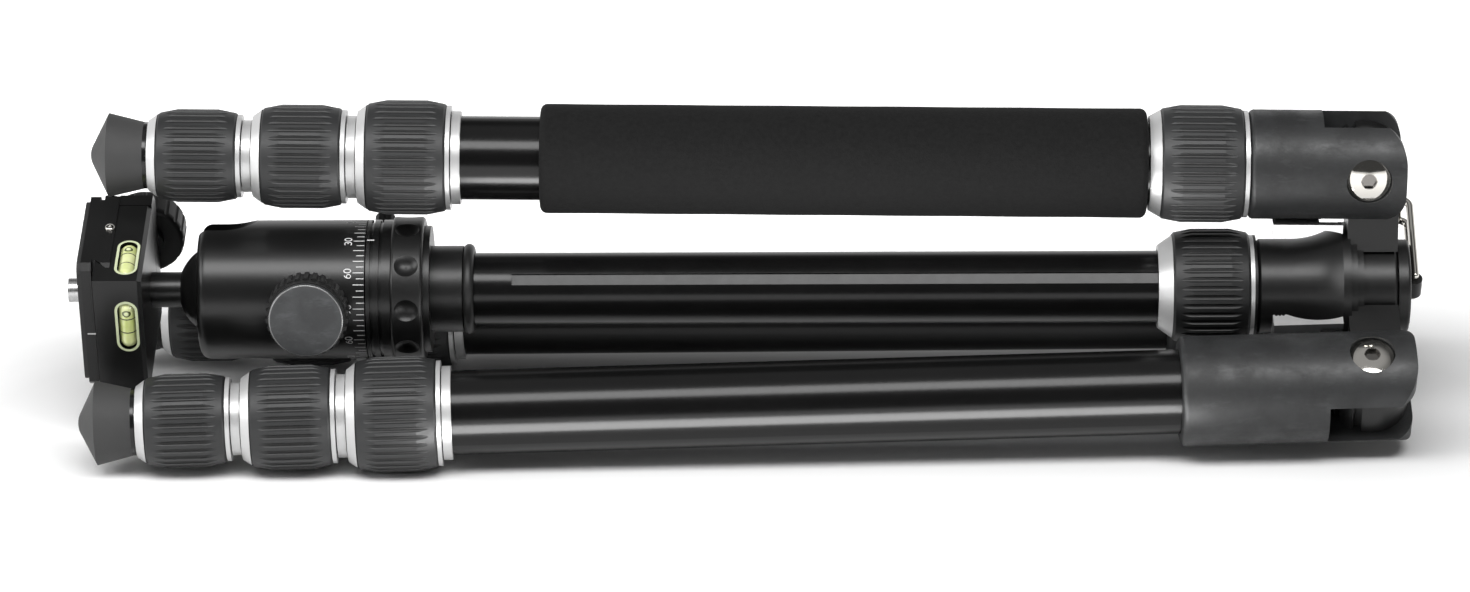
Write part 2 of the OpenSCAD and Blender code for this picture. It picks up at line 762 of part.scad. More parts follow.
module column_tube() {
    color("#222326") difference() {
        placed() translate([column_start, 0, 0]) rotate([0, 90, 0]) difference() {
            cylinder(r = column_r, h = cap_x - column_start);
            translate([0, 0, -over]) cylinder(r = column_r - column_wall, h = cap_x - column_start + 2*over);
        }
        placed() rotate([groove_angle, 0, 0])
            translate([column_start + base_len, -groove_w/2, column_r - groove_depth])
                cube([cap_x - column_start, groove_w, column_r]);
    }
}

module column_lock() {
    along_column(column_lock_end) {
        color("silver") rotate_extrude()
            nut_profile(column_ring_r, column_seat_r, column_ring_len, column_grip_len, column_cone_len,
                column_cone_fall, nose_r + collar_gap, column_lock_len - column_cone_len, sleeve_r);
        color("#3a3b3d") translate([0, 0, column_ring_len])
            grip(column_seat_r, column_crown_r, column_grip_len, flute_count);
    }
}

module column_cap() {
    color("#1a1a1b") difference() {
        placed() union() {
            translate([cap_x, 0, 0]) rotate([0, 90, 0]) rotate_extrude()
                edge_profile(cap_r, cap_t, cap_t/4, false);
            translate([cap_x - cap_plug_len, 0, 0]) rotate([0, 90, 0])
                cylinder(r = column_r - column_wall, h = cap_plug_len + over);
            // Boss between the hook's wires
            rotate([hook_angle, 0, 0]) translate([hook_x, 0, 0]) rotate([90, 0, 0])
                cylinder(r = hook_boss_r, h = hook_boss_w, center = true);
            rotate([hook_angle, 0, 0]) translate([cap_x + cap_t/2, -hook_boss_w/2, -hook_boss_r])
                cube([hook_x - cap_x - cap_t/2, hook_boss_w, 2*hook_boss_r]);
        }
        outward(hook_x, hook_angle) rotate([90, 0, 0])
            cylinder(r = hook_pin_r + pivot_gap, h = hook_w, center = true);
    }
}

// One quarter bend of the hook's wire, from +z round to -x
module wire_bend(bend_r) {
    translate([-bend_r, 0, 0]) rotate([90, 0, 0]) rotate_extrude(angle = 90)
        translate([bend_r, 0]) circle(d = wire_d, $fn = small);
}

module bag_hook() {
    bend_r = wire_d*hook_bend_share;
    color("#c9cacd") outward(hook_x, hook_angle) {
        // Pivot wire through the boss
        rotate([90, 0, 0]) cylinder(d = wire_d, h = hook_w, center = true, $fn = small);
        for (side = [-1, 1]) translate([0, side*hook_w/2, 0]) {
            sphere(d = wire_d, $fn = small);
            cylinder(d = wire_d, h = hook_reach - bend_r, $fn = small);
            translate([0, 0, hook_reach - bend_r]) wire_bend(bend_r);
            translate([bend_r - hook_tip, 0, hook_reach]) rotate([0, 90, 0])
                cylinder(d = wire_d, h = hook_tip - 2*bend_r, $fn = small);
            translate([bend_r - hook_tip, 0, hook_reach]) sphere(d = wire_d, $fn = small);
        }
        translate([bend_r - hook_tip, 0, hook_reach]) rotate([90, 0, 0])
            cylinder(d = wire_d, h = hook_w, center = true, $fn = small);
    }
}

module head_base() {
    color("#1b1b1d") difference() {
        along_column(base_x) {
            cylinder(r = base_r, h = base_len + over);
            translate([0, 0, base_len - flange_step_t])
                cylinder(r = flange_r*flange_step_share, h = flange_step_t + over);
            translate([0, 0, base_len]) rotate_extrude()
                edge_profile(flange_r, flange_t, flange_t*flange_edge_share, true);
            // Plug in the column tube
            translate([0, 0, -o_ring_t - base_len*plug_share])
                cylinder(r = column_r - column_wall, h = base_len*plug_share + o_ring_t + over);
        }
        for (i = [0:dimple_count - 1])
            outward(pan_x + flange_t/2, dimple_angle + i*360/dimple_count)
                translate([0, 0, flange_r + dimple_r*dimple_share]) sphere(r = dimple_r, $fn = 48);
    }
}

module o_ring() {
    color("#111112") along_column(column_start) difference() {
        rotate_extrude() translate([base_r - o_ring_t/3, o_ring_t/2])
            circle(d = o_ring_t, $fn = 48);
        translate([0, 0, -over]) cylinder(r = column_r - column_wall, h = o_ring_t + 2*over);
    }
}

// Ball head

module pan_base() {
    groove = pan_base_t/8;
    spigot = housing_r*pan_spigot_share;
    color("#141416") along_column(pan_x) rotate_extrude() difference() {
        union() {
            square([pan_base_r, pan_base_t]);
            square([spigot, pan_base_t + housing_len/6]);
        }
        for (at = pan_groove_shares) translate([pan_base_r - groove, pan_base_t*at]) square([2*groove, groove]);
        translate([-over, -over]) square([stem_r + over, pan_base_t + housing_len]);
    }
}

module pan_knob() {
    r = pan_base_t*pan_knob_share;
    top = pan_base_r*pan_knob_reach_share;
    gap = slide_gap;
    color("#1b1b1d") outward(pan_x - pan_base_t/2, pan_knob_angle) difference() {
        union() {
            translate([0, 0, pan_base_r + gap]) rotate_extrude()
                edge_profile(r, top - pan_base_r - gap, r/5, true);
            translate([0, 0, pan_base_r + gap/3]) cylinder(r = r/2, h = top - pan_base_r - 2*gap);
        }
        for (i = [0:pan_knob_grooves - 1]) rotate([0, 0, i*360/pan_knob_grooves])
            translate([r, 0, pan_base_r]) cylinder(r = r/pan_knob_grooves, h = top, $fn = 16);
    }
}

// Solid outline of the housing, with its rounded front shoulder
module housing_profile() {
    edge_profile(housing_r, housing_len, shoulder_r, false);
}

module ball_housing() {
    notch_r = stem_r + slide_gap*2;
    flare_out = housing_r*drop_flare_share;
    color("#17171a") difference() {
        union() {
            along_column(housing_x) rotate_extrude() housing_profile();
            outward(knob_x, knob_angle) cylinder(r = boss_r, h = boss_reach);
        }
        // Socket of the ball and the cavity behind it
        outward(ball_x, 0) sphere(r = socket_r, $fn = fine/2);
        along_column(ball_x) cylinder(r = mouth_r, h = ball_r);
        along_column(housing_x) translate([0, 0, -over])
            cylinder(r = seat_r, h = housing_x - cavity_x + over);
        outward(knob_x, knob_angle) cylinder(r = lock_screw_r + slide_gap, h = boss_reach + over);
        // Drop notch for the stem
        outward(ball_x, notch_angle) {
            cylinder(r = notch_r, h = housing_r + over);
            translate([-ball_r, -notch_r, 0]) cube([ball_r, 2*notch_r, housing_r + over]);
            translate([0, 0, ball_r]) cylinder(r1 = notch_r, r2 = flare_out, h = housing_r + over - ball_r);
            intersection() {
                translate([-ball_r, -flare_out, ball_r]) cube([ball_r, 2*flare_out, housing_r]);
                translate([-ball_r, 0, ball_r]) rotate([0, 90, 0]) linear_extrude(height = ball_r)
                    polygon([[0, -notch_r], [0, notch_r],
                        [ball_r - housing_r - over, flare_out], [ball_r - housing_r - over, -flare_out]]);
            }
        }
    }
}

module ball_seat() {
    seat_len = ball_r*seat_share;
    color("#c8c4b8") difference() {
        along_column(cavity_x + seat_len) cylinder(r = seat_r, h = seat_len - slide_gap);
        outward(ball_x, 0) sphere(r = socket_r, $fn = fine/2);
        along_column(cavity_x + seat_len + over) cylinder(r = seat_r/2, h = ball_r*2);
    }
}

module ball_knob() {
    tooth_r = knob_r*PI/knob_teeth/2;
    start = boss_reach + slide_gap;
    color("#202022") outward(knob_x, knob_angle) difference() {
        union() {
            translate([0, 0, start]) difference() {
                cylinder(r = knob_r, h = knob_collar_len);
                for (i = [0:knob_teeth - 1]) rotate([0, 0, i*360/knob_teeth])
                    translate([knob_r, 0, -over]) cylinder(r = tooth_r, h = knob_collar_len + 2*over, $fn = 16);
            }
            translate([0, 0, start + knob_collar_len/2])
                cylinder(r1 = knob_r - tooth_r, r2 = knob_face_r + tooth_r/2,
                    h = knob_cone_end - start - knob_collar_len/2);
            // Clamping screw down to the ball's seat
            translate([0, 0, lock_screw_at]) cylinder(r = lock_screw_r, h = start - lock_screw_at + over);
        }
        translate([0, 0, knob_disc_at]) cylinder(r = knob_face_r, h = knob_r);
    }
}

module knob_disc() {
    edge = knob_r*knob_seat_share/2;
    color("#8f9396") outward(knob_x, knob_angle) translate([0, 0, knob_disc_at])
        rotate_extrude() edge_profile(knob_face_r, knob_reach - knob_disc_at, edge, false);
}

module ball_stem() {
    color("#232325") placed() {
        translate([ball_x, 0, 0]) sphere(r = ball_r, $fn = fine/2);
        translate([clamp_x, 0, 0]) rotate([0, 90, 0]) cylinder(r = stem_r, h = stem_len);
        translate([clamp_x - spigot_len, 0, 0]) rotate([0, 90, 0]) cylinder(r = spigot_r, h = spigot_len + over);
    }
}

// Clamp frame: local z runs along the dovetail, local -y points at the fixed jaw
module in_clamp() {
    placed() rotate([clamp_angle, 0, 0]) children();
}

// Half outline of the plate's dovetail foot, as offsets from the plate's bottom and middle
module dovetail_outline(grow) {
    w = plate_w/2 + grow;
    neck = w - dovetail_cut;
    lip = dovetail_h - dovetail_cut;
    polygon([[0, -w], [lip/2, -w], [lip/2 + dovetail_cut, -neck], [dovetail_h + over, -neck],
        [dovetail_h + over, neck], [lip/2 + dovetail_cut, neck], [lip/2, w], [0, w]]);
}

// Window for a vial, with round ends, along local z
module vial_window() {
    half = (window_len - window_w)/2;
    for (side = [-1, 1]) translate([0, side*half]) circle(d = window_w);
    square([window_w, 2*half], center = true);
}

module clamp_body(side_low, side_high) {
    difference() {
        translate([plate_x - jaw_h, side_low, -clamp_half_len])
            cube([clamp_floor_t + jaw_h, side_high - side_low, 2*clamp_half_len]);
        // Dovetail way
        translate([plate_x, 0, -clamp_half_len - over]) mirror([1, 0, 0])
            linear_extrude(height = 2*clamp_half_len + 2*over) dovetail_outline(slide_gap);
    }
}

module clamp_base() {
    edge = clamp_floor_t/6;
    color("#1c1c1e") in_clamp() difference() {
        clamp_body(-fixed_side, base_side);
        // Bevelled underside edges
        for (side = [-1, 1]) translate([clamp_x, 0, side*clamp_half_len]) rotate([0, 45, 0])
            cube([edge, 3*fixed_side, edge], center = true);
        translate([clamp_x, -fixed_side, 0]) rotate([0, 0, 45]) cube([edge, edge, 3*clamp_half_len], center = true);
        rotate([0, 90, 0]) translate([0, 0, clamp_x - spigot_len - slide_gap])
            cylinder(r = spigot_r + pivot_gap, h = clamp_floor_t);
        // Threaded hole of the clamp screw
        translate([clamp_screw_x, base_side + over, 0]) rotate([90, 0, 0])
            cylinder(r = clamp_screw_r + slide_gap, h = base_side - clamp_screw_at + slide_gap + over);
        // Windows of the two bubble vials
        translate([vial_x, -end_vial_at, clamp_half_len - vial_d]) linear_extrude(height = vial_d + over)
            vial_window();
        translate([vial_x, -fixed_side + vial_d, side_vial_at]) rotate([90, 0, 0])
            linear_extrude(height = vial_d + over) vial_window();
    }
}

module clamp_jaw() {
    color("#1c1c1e") in_clamp() difference() {
        clamp_body(jaw_side, moving_side);
        for (side = [-1, 1]) translate([clamp_x, moving_side, side*clamp_half_len]) rotate([45, 0, 0])
            cube([6*clamp_floor_t, jaw_chamfer*sqrt(2), jaw_chamfer*sqrt(2)], center = true);
        translate([clamp_screw_x, base_side, 0]) rotate([-90, 0, 0])
            cylinder(r = clamp_screw_r + pivot_gap, h = moving_side);
    }
}

module clamp_knob() {
    groove_r = clamp_knob_r*PI/clamp_knob_grooves*groove_share;
    neck = moving_side + slide_gap;
    disc = neck + clamp_knob_len/4;
    color("#1b1b1c") in_clamp() translate([clamp_screw_x, 0, 0]) rotate([-90, 0, 0]) {
        difference() {
            translate([0, 0, disc]) rotate_extrude()
                edge_profile(clamp_knob_r, clamp_knob_len, clamp_knob_len/6, true);
            for (i = [0:clamp_knob_grooves - 1]) rotate([0, 0, i*360/clamp_knob_grooves])
                translate([clamp_knob_r + groove_r/3, 0, disc - over])
                    cylinder(r = groove_r, h = clamp_knob_len + 2*over, $fn = 24);
        }
        translate([0, 0, neck]) cylinder(r = clamp_knob_r/2, h = disc - neck + over);
        translate([0, 0, clamp_screw_at]) cylinder(r = clamp_screw_r, h = neck - clamp_screw_at + over);
    }
}

module vial() {
    half = (vial_len - vial_d)/2;
    cylinder(d = vial_d, h = 2*half, center = true, $fn = 48);
    for (side = [-1, 1]) translate([0, 0, side*half]) sphere(d = vial_d, $fn = 48);
}

module bubble_vials() {
    color("#c6d42a") in_clamp() {
        translate([vial_x, -end_vial_at, clamp_half_len - vial_d/2]) rotate([90, 0, 0]) vial();
        translate([vial_x, -fixed_side + vial_d/2, side_vial_at]) vial();
    }
}

module quick_plate() {
    top = dovetail_h + plate_top_t;
    color("#232325") in_clamp() difference() {
        union() {
            translate([plate_x, 0, -plate_len/2]) mirror([1, 0, 0])
                linear_extrude(height = plate_len) dovetail_outline(0);
            translate([plate_x - top, -plate_w/2, -plate_len/2]) cube([plate_top_t, plate_w, plate_len]);
        }
        for (a = [-1, 1], b = [-1, 1]) translate([plate_x, a*plate_w/2, b*plate_len/2]) rotate([45, 0, 0])
            cube([3*top, plate_corner*sqrt(2), plate_corner*sqrt(2)], center = true);
        rotate([0, 90, 0]) {
            translate([0, 0, plate_x - top - over]) cylinder(r = screw_r + slide_gap, h = top + 2*over);
            translate([0, 0, screw_head_x]) cylinder(r = screw_head_r + slide_gap, h = top);
        }
    }
}

module plate_pad() {
    corner = plate_w/12;
    inset = plate_w/40;
    color("#161617") in_clamp() difference() {
        translate([pad_x - pad_t, 0, 0]) rotate([0, 90, 0]) linear_extrude(height = pad_t) {
            square([plate_len - 2*inset - 2*corner, plate_w - 2*inset], center = true);
            square([plate_len - 2*inset, plate_w - 2*inset - 2*corner], center = true);
            for (a = [-1, 1], b = [-1, 1])
                translate([a*(plate_len/2 - inset - corner), b*(plate_w/2 - inset - corner)])
                    circle(r = corner, $fn = small);
        }
        rotate([0, 90, 0]) translate([0, 0, pad_x - pad_t - over]) cylinder(r = screw_r + slide_gap, h = pad_t + 2*over);
    }
}

module camera_screw() {
    slot_w = screw_head_r*coin_slot_share;
    color("#b9babd") in_clamp() rotate([0, 90, 0]) difference() {
        union() {
            translate([0, 0, tip_x]) cylinder(r = screw_r, h = screw_len);
            // Undercut neck inside the plate
            translate([0, 0, face_x]) cylinder(r = screw_r*screw_neck_share, h = screw_head_x - face_x + over);
            translate([0, 0, screw_head_x]) cylinder(r = screw_head_r, h = screw_head_t);
        }
        translate([-slot_w/2, -screw_head_r, screw_head_x + screw_head_t/2])
            cube([slot_w, 2*screw_head_r, screw_head_t]);
    }
}

// The three legs, each with its own direction
leg_names = ["top", "front", "rear"];
leg_angles = [top_angle, front_angle, rear_angle];
leg_splays = [splay_top, splay_low, splay_low];
leg_low = [0, 1, 1];
leg_tube_starts = [top_tube_start, tube_seat, tube_seat];

module leg_part(leg, part) {
    angle = leg_angles[leg];
    splay = leg_splays[leg];
    low = leg_low[leg];
    if (part == "fork") leg_fork(angle, splay, low);
    if (part == "stop_tab") leg_tab(angle, splay);
    if (part == "tube_1") leg_tube(1, angle, splay, low, leg_tube_starts[leg]);
    if (part == "tube_2") leg_tube(2, angle, splay, low, inner_start(2));
    if (part == "tube_3") leg_tube(3, angle, splay, low, inner_start(3));
    if (part == "tube_4") leg_last_tube(angle, splay, low);
    if (part == "lock_1") leg_lock(1, angle, splay, low);
    if (part == "lock_2") leg_lock(2, angle, splay, low);
    if (part == "lock_3") leg_lock(3, angle, splay, low);
    if (part == "foot") leg_foot(angle, splay, low);
}

leg_parts = ["fork", "stop_tab", "tube_1", "lock_1", "tube_2", "lock_2", "tube_3", "lock_3", "tube_4", "foot"];
for (leg = [0:2], part = leg_parts)
    leg_part(leg, part);

spider();
column_bush();
pivot_bolts();
monopod_stud();
monopod_ring();
foam_grip();
column_tube();
column_lock();
column_cap();
bag_hook();
head_base();
o_ring();
pan_base();
pan_knob();
ball_housing();
ball_seat();
ball_knob();
knob_disc();
ball_stem();
clamp_base();
clamp_jaw();
clamp_knob();
bubble_vials();
quick_plate();
plate_pad();
camera_screw();
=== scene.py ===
"""Looks of the folded travel tripod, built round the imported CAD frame.

The column lies along X with the ball head at -X. Positions are metres in the frame's axes, and the
named sizes are millimetres.
"""

import json
import math

import bmesh
import bpy
from mathutils import Matrix, Vector


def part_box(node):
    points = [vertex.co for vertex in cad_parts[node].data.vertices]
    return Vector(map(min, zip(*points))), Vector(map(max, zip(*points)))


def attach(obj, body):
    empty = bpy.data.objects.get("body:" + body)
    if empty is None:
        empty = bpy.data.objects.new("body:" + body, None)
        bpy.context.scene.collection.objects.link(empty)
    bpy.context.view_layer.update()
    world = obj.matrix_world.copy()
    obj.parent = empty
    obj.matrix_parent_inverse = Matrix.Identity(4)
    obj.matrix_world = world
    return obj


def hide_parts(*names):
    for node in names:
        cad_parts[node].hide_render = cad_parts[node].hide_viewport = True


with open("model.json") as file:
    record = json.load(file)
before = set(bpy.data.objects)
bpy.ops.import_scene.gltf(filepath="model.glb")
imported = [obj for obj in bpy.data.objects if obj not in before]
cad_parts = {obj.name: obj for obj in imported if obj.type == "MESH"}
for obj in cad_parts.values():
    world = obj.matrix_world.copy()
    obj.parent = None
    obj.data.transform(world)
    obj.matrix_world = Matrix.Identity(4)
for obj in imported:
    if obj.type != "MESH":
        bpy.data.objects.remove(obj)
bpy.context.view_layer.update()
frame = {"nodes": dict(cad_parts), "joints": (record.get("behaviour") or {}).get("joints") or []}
NODES = frame["nodes"]
JOINTS = {joint["name"]: joint for joint in frame["joints"]}

MM = 0.001

# Legs, whose lengths run from the hinge
LEGS = ("top", "front", "rear")
LEG_AXIS = {leg: Vector(JOINTS[f"{leg}_stop_slide"]["axis"]) for leg in LEGS}
LEG_PIVOT = {leg: Vector(JOINTS[f"{leg}_leg_hinge"]["pos_m"]) for leg in LEGS}
FIRST_COLLAR = {"top": 236.9, "front": 238.9, "rear": 238.9}
COLLAR_LEN = 2.3
COLLAR_SPILL = 0.05
END_GAP = 0.3
TUBE_R = 11.0
TUBE_STEP = 1.4
RING_LEN = 1.1
GRIP_LEN = 21.1
CONE_LEN = 2.3
LOCK_PITCH = COLLAR_LEN + END_GAP + RING_LEN + GRIP_LEN + CONE_LEN + END_GAP
CROWN_PROUD = 4.0

# Fluted grips
CROWN_FALL = 0.9
GRIP_TAPER_SHARE = 0.25
FLUTE_START = 0.2
FLUTE_END = 0.5
RING_REACH = 1
CONE_REACH = 40

# Coupling ring of the top leg, and the foam behind it
FORK_TOP_LEN = 30.7
COUPLING_START = FORK_TOP_LEN + END_GAP
COUPLING_RING_LEN = 1.1
COUPLING_GRIP_LEN = 21.8
COUPLING_CONE_LEN = CONE_LEN * 1.25
COUPLING_CROWN_R = 15.35
COUPLING_END = COUPLING_START + COUPLING_RING_LEN + COUPLING_GRIP_LEN + COUPLING_CONE_LEN
FOAM_START = COUPLING_END + 2 * END_GAP
FOAM_BARE_LEN = 20.8
FOAM_END = FIRST_COLLAR["top"] - FOAM_BARE_LEN
FOAM_R = 14.35
FOAM_BORE_R = TUBE_R + 0.05
FOAM_EDGE = 1.8
FOAM_EDGE_STEPS = 8
FOAM_WAVE = 0.06
FOAM_WAVES = 5
FOAM_WAVE_STEPS = 40

# Column
COLUMN_Z = (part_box("column_tube")[0].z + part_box("column_tube")[1].z) / 2
COLUMN_RING_LEN = 1.76
COLUMN_RING_DARK = 0.7
COLUMN_GRIP_LEN = 20.3
COLUMN_CROWN_R = 15.2

# The usual lowest and highest values of a noise
NOISE_LOW = 0.3
NOISE_HIGH = 0.7

# Places of the colour sockets in a Mix node
MIX_A = 6
MIX_B = 7
MIX_RESULT = 2


class Nodes:
    """Short calls that build nodes in a tree. A source is an output socket or a constant."""

    def __init__(self, tree):
        self.tree = tree

    def node(self, kind, **settings):
        made = self.tree.nodes.new(kind)
        for name, value in settings.items():
            setattr(made, name, value)
        return made

    def link(self, source, socket):
        if hasattr(source, "is_output"):
            self.tree.links.new(source, socket)
        else:
            socket.default_value = source

    def maths(self, operation, a, b=0.0):
        made = self.node("ShaderNodeMath", operation=operation)
        self.link(a, made.inputs[0])
        self.link(b, made.inputs[1])
        return made.outputs[0]

    def vector_maths(self, operation, a, b=(0, 0, 0), output="Vector"):
        made = self.node("ShaderNodeVectorMath", operation=operation)
        self.link(a, made.inputs[0])
        self.link(b, made.inputs[1])
        return made.outputs[output]

    def highest(self, sources):
        top = sources[0]
        for source in sources[1:]:
            top = self.maths("MAXIMUM", top, source)
        return top

    def within(self, value, low, high):
        above = self.maths("GREATER_THAN", value, low)
        return self.maths("MULTIPLY", above, self.maths("LESS_THAN", value, high))

    def span(self, value, low, high, to_low, to_high, curve="LINEAR"):
        """The value's range low to high, turned into to_low to to_high and clamped there."""
        made = self.node("ShaderNodeMapRange", interpolation_type=curve)
        self.link(value, made.inputs["Value"])
        numbers = {"From Min": low, "From Max": high, "To Min": to_low, "To Max": to_high}
        for socket, number in numbers.items():
            made.inputs[socket].default_value = number
        return made.outputs["Result"]

    def shown_rays(self):
        """1 for camera, glossy and transmission rays, else 0."""
        path = self.node("ShaderNodeLightPath")
        rays = ("Is Camera Ray", "Is Glossy Ray", "Is Transmission Ray")
        return self.highest([path.outputs[ray] for ray in rays])


class Look(Nodes):
    """A Principled material whose colour, roughness and bump come from nodes."""

    def __init__(self, name, **values):
        self.material = bpy.data.materials.new(name)
        self.material.use_nodes = True
        super().__init__(self.material.node_tree)
        self.shader = self.tree.nodes["Principled BSDF"]
        self.put(**values)
        self.coords = self.node("ShaderNodeTexCoord").outputs["Object"]

    def put(self, **sources):
        """Sets the shader's sockets, whose spaces are written as underscores."""
        for socket, source in sources.items():
            self.link(source, self.shader.inputs[socket.replace("_", " ")])

    def noise(self, scale, detail, roughness=0.5, stretch=(1, 1, 1)):
        mapping = self.node("ShaderNodeMapping")
        mapping.inputs["Scale"].default_value = stretch
        self.link(self.coords, mapping.inputs["Vector"])
        made = self.node("ShaderNodeTexNoise")
        made.inputs["Scale"].default_value = scale
        made.inputs["Detail"].default_value = detail
        made.inputs["Roughness"].default_value = roughness
        self.link(mapping.outputs["Vector"], made.inputs["Vector"])
        return made.outputs["Fac"]

    def spread(self, noise, low=0, high=1):
        """The usual range of a noise, turned into low to high."""
        return self.span(noise, NOISE_LOW, NOISE_HIGH, low, high)

    def cells(self, scale):
        made = self.node("ShaderNodeTexVoronoi")
        made.inputs["Scale"].default_value = scale
        self.link(self.coords, made.inputs["Vector"])
        return made.outputs["Distance"]

    def blend(self, factor, a, b):
        made = self.node("ShaderNodeMix", data_type="RGBA")
        self.link(factor, made.inputs["Factor"])
        self.link(a, made.inputs[MIX_A])
        self.link(b, made.inputs[MIX_B])
        return made.outputs[MIX_RESULT]

    def bump(self, height, strength, depth):
        made = self.node("ShaderNodeBump")
        made.inputs["Strength"].default_value = strength
        made.inputs["Distance"].default_value = depth
        self.link(height, made.inputs["Height"])
        self.put(Normal=made.outputs["Normal"])

    def along(self, origin, axis):
        """How far a surface point lies from origin along axis, at rest."""
        offset = self.vector_maths("SUBTRACT", self.coords, origin)
        return self.vector_maths("DOT_PRODUCT", offset, axis, "Value")

    def away(self, origin, axis):
        """How far a surface point lies from the line through origin along axis, at rest."""
        offset = self.vector_maths("SUBTRACT", self.coords, origin)
        across = self.vector_maths("CROSS_PRODUCT", offset, axis)
        return self.vector_maths("LENGTH", across, output="Value")

    def flute_depth(self, origin, axis, start, length, crown_r):
        """0 on the crown of a grip whose ends taper, rising to 1 in its flutes."""
        run = self.along(origin, axis)
        taper = length * GRIP_TAPER_SHARE
        end = start + length
        rise = self.span(run, start * MM, (start + taper) * MM, -CROWN_FALL * MM, 0)
        fall = self.span(run, (end - taper) * MM, end * MM, 0, -CROWN_FALL * MM)
        surface = self.maths("ADD", crown_r * MM, self.maths("ADD", rise, fall))
        depth = self.maths("SUBTRACT", surface, self.away(origin, axis))
        return self.span(depth, FLUTE_START * MM, FLUTE_END * MM, 0, 1)


def grey(value, warmth=0.0):
    return (value * (1 + warmth), value, value * (1 - warmth), 1)


def scaled(colour, factor):
    return tuple(part * factor for part in colour[:3]) + (1,)


RUBBER = grey(0.017, -0.03)
COLUMN_RUBBER = grey(0.006, -0.03)
RUBBER_ROUGHNESS = 0.48
BRIGHT = grey(0.62)
BRIGHT_METAL = 0.45
BRIGHT_ROUGHNESS = 0.36
TUBE_BLACK = grey(0.004)
TUBE_ROUGHNESS = 0.2
TUBE_SPECULAR = 0.3
CHROME_COLOUR = (0.66, 0.64, 0.6, 1)
BOLT_SOCKET_R = 2.2
BOLT_SOCKET_INNER_R = 1.87
# Painted shade for the recess of each bolt's hexagon socket
BOLT_SOCKET_SHADE = (0.2, 0.19, 0.18, 1)

# Factors on a finish's colour in its clouds, and the painted shade in the flutes
DARK_CLOUD = 1.25
BRIGHT_CLOUD = 0.92
TURNED_CLOUD = 0.9
CAST_SCUFF = 2
FLUTE_SHADE = 0.12

# Bump depths, in metres
PLAIN_DEPTH = 0.00002
TURNED_DEPTH = 0.00001
CAST_DEPTH = 0.00006
BANDED_DEPTH = 0.00003
FOAM_DEPTH = 0.00012


def plain_look(name, dark, light, roughness, grain=900, strength=0.25, **values):
    """A moulded or anodised surface: a slightly uneven colour with a fine grain."""
    look = Look(name, **values)
    cloud = look.spread(look.noise(scale=60, detail=4))
    sheen = look.spread(look.noise(grain, detail=2), roughness - 0.02, roughness + 0.02)
    look.put(Base_Color=look.blend(cloud, dark, light), Roughness=sheen)
    look.bump(look.noise(grain, detail=3, roughness=0.6), strength, PLAIN_DEPTH)
    return look.material


def turned_look(name, base, roughness, axis, strength=0.12):
    """A turned metal surface, with fine lines round the given axis."""
    look = Look(name, Metallic=1.0)
    lines = look.node("ShaderNodeTexNoise", noise_dimensions="1D")
    lines.inputs["Scale"].default_value = 2600
    lines.inputs["Detail"].default_value = 2
    look.link(look.along((0, 0, 0), axis), lines.inputs["W"])
    cloud = look.spread(look.noise(scale=80, detail=3))
    look.put(
        Base_Color=look.blend(cloud, base, scaled(base, TURNED_CLOUD)),
        Roughness=look.spread(lines.outputs["Fac"], roughness - 0.04, roughness + 0.05),
    )
    look.bump(lines.outputs["Fac"], strength, TURNED_DEPTH)
    return look.material


def cast_look(name, dark, light, roughness):
    """A blasted casting: small pits, a mottled sheen and faint scuffs along its length."""
    look = Look(name, Specular_IOR_Level=0.4)
    mottle = look.noise(scale=110, detail=5, roughness=0.6)
    cloud = look.span(mottle, low=0.4, high=0.62, to_low=0, to_high=1)
    streaks = look.noise(scale=260, detail=4, roughness=0.7, stretch=(0.35, 1, 1))
    scuffs = look.span(streaks, low=0.56, high=0.72, to_low=0, to_high=0.5)
    pits = look.noise(scale=1500, detail=3, roughness=0.65)
    sheen = look.span(cloud, 0, 1, roughness + 0.08, roughness - 0.06)
    look.put(
        Base_Color=look.blend(scuffs, look.blend(cloud, dark, light), scaled(light, CAST_SCUFF)),
        Roughness=look.maths("ADD", sheen, look.spread(pits, -0.06, 0.06)),
    )
    look.bump(pits, strength=0.35, depth=CAST_DEPTH)
    return look.material


def banded_look(name, origin, axis, bands, base, roughness, relief=0.2, grip=None, **values):
    """A dark finish with bright bands, given as (start, end) along the axis.

    grip is (start, length, crown radius) of a fluted grip, whose flutes get painted shade that
    makes them darker than its lands.
    """
    look = Look(name, **values)
    run = look.along(origin, axis)
    mask = look.highest([look.within(run, start * MM, end * MM) for start, end in bands])
    cloud = look.spread(look.noise(scale=70, detail=4))
    dark = look.blend(cloud, base, scaled(base, DARK_CLOUD))
    if grip:
        flutes = look.flute_depth(origin, axis, *grip)
        # Painted shade: the grooves of the flutes are darkened to FLUTE_SHADE of the base colour
        dark = look.blend(flutes, dark, scaled(base, FLUTE_SHADE))
    bright = look.blend(cloud, BRIGHT, scaled(BRIGHT, BRIGHT_CLOUD))
    fine = look.noise(scale=1400, detail=3, roughness=0.6)
    sheen = look.span(mask, 0, 1, roughness, BRIGHT_ROUGHNESS)
    look.put(
        Base_Color=look.blend(mask, dark, bright),
        Metallic=look.span(mask, 0, 1, 0, BRIGHT_METAL),
        Roughness=look.maths("ADD", sheen, look.spread(fine, -0.03, 0.03)),
    )
    look.bump(look.maths("MULTIPLY", fine, look.span(mask, 0, 1, 1, 0.2)), relief, BANDED_DEPTH)
    return look.material


def nut_look(name, origin, axis, ring, grip_len, crown_r, rubber=RUBBER):
    """A twist nut: a bright ring, given as (start, end), then a fluted grip and a bright cone."""
    cone = ring[1] + grip_len
    return banded_look(name, origin, axis, [ring, (cone, cone + CONE_REACH)], rubber,
                       RUBBER_ROUGHNESS, grip=(ring[1], grip_len, crown_r))


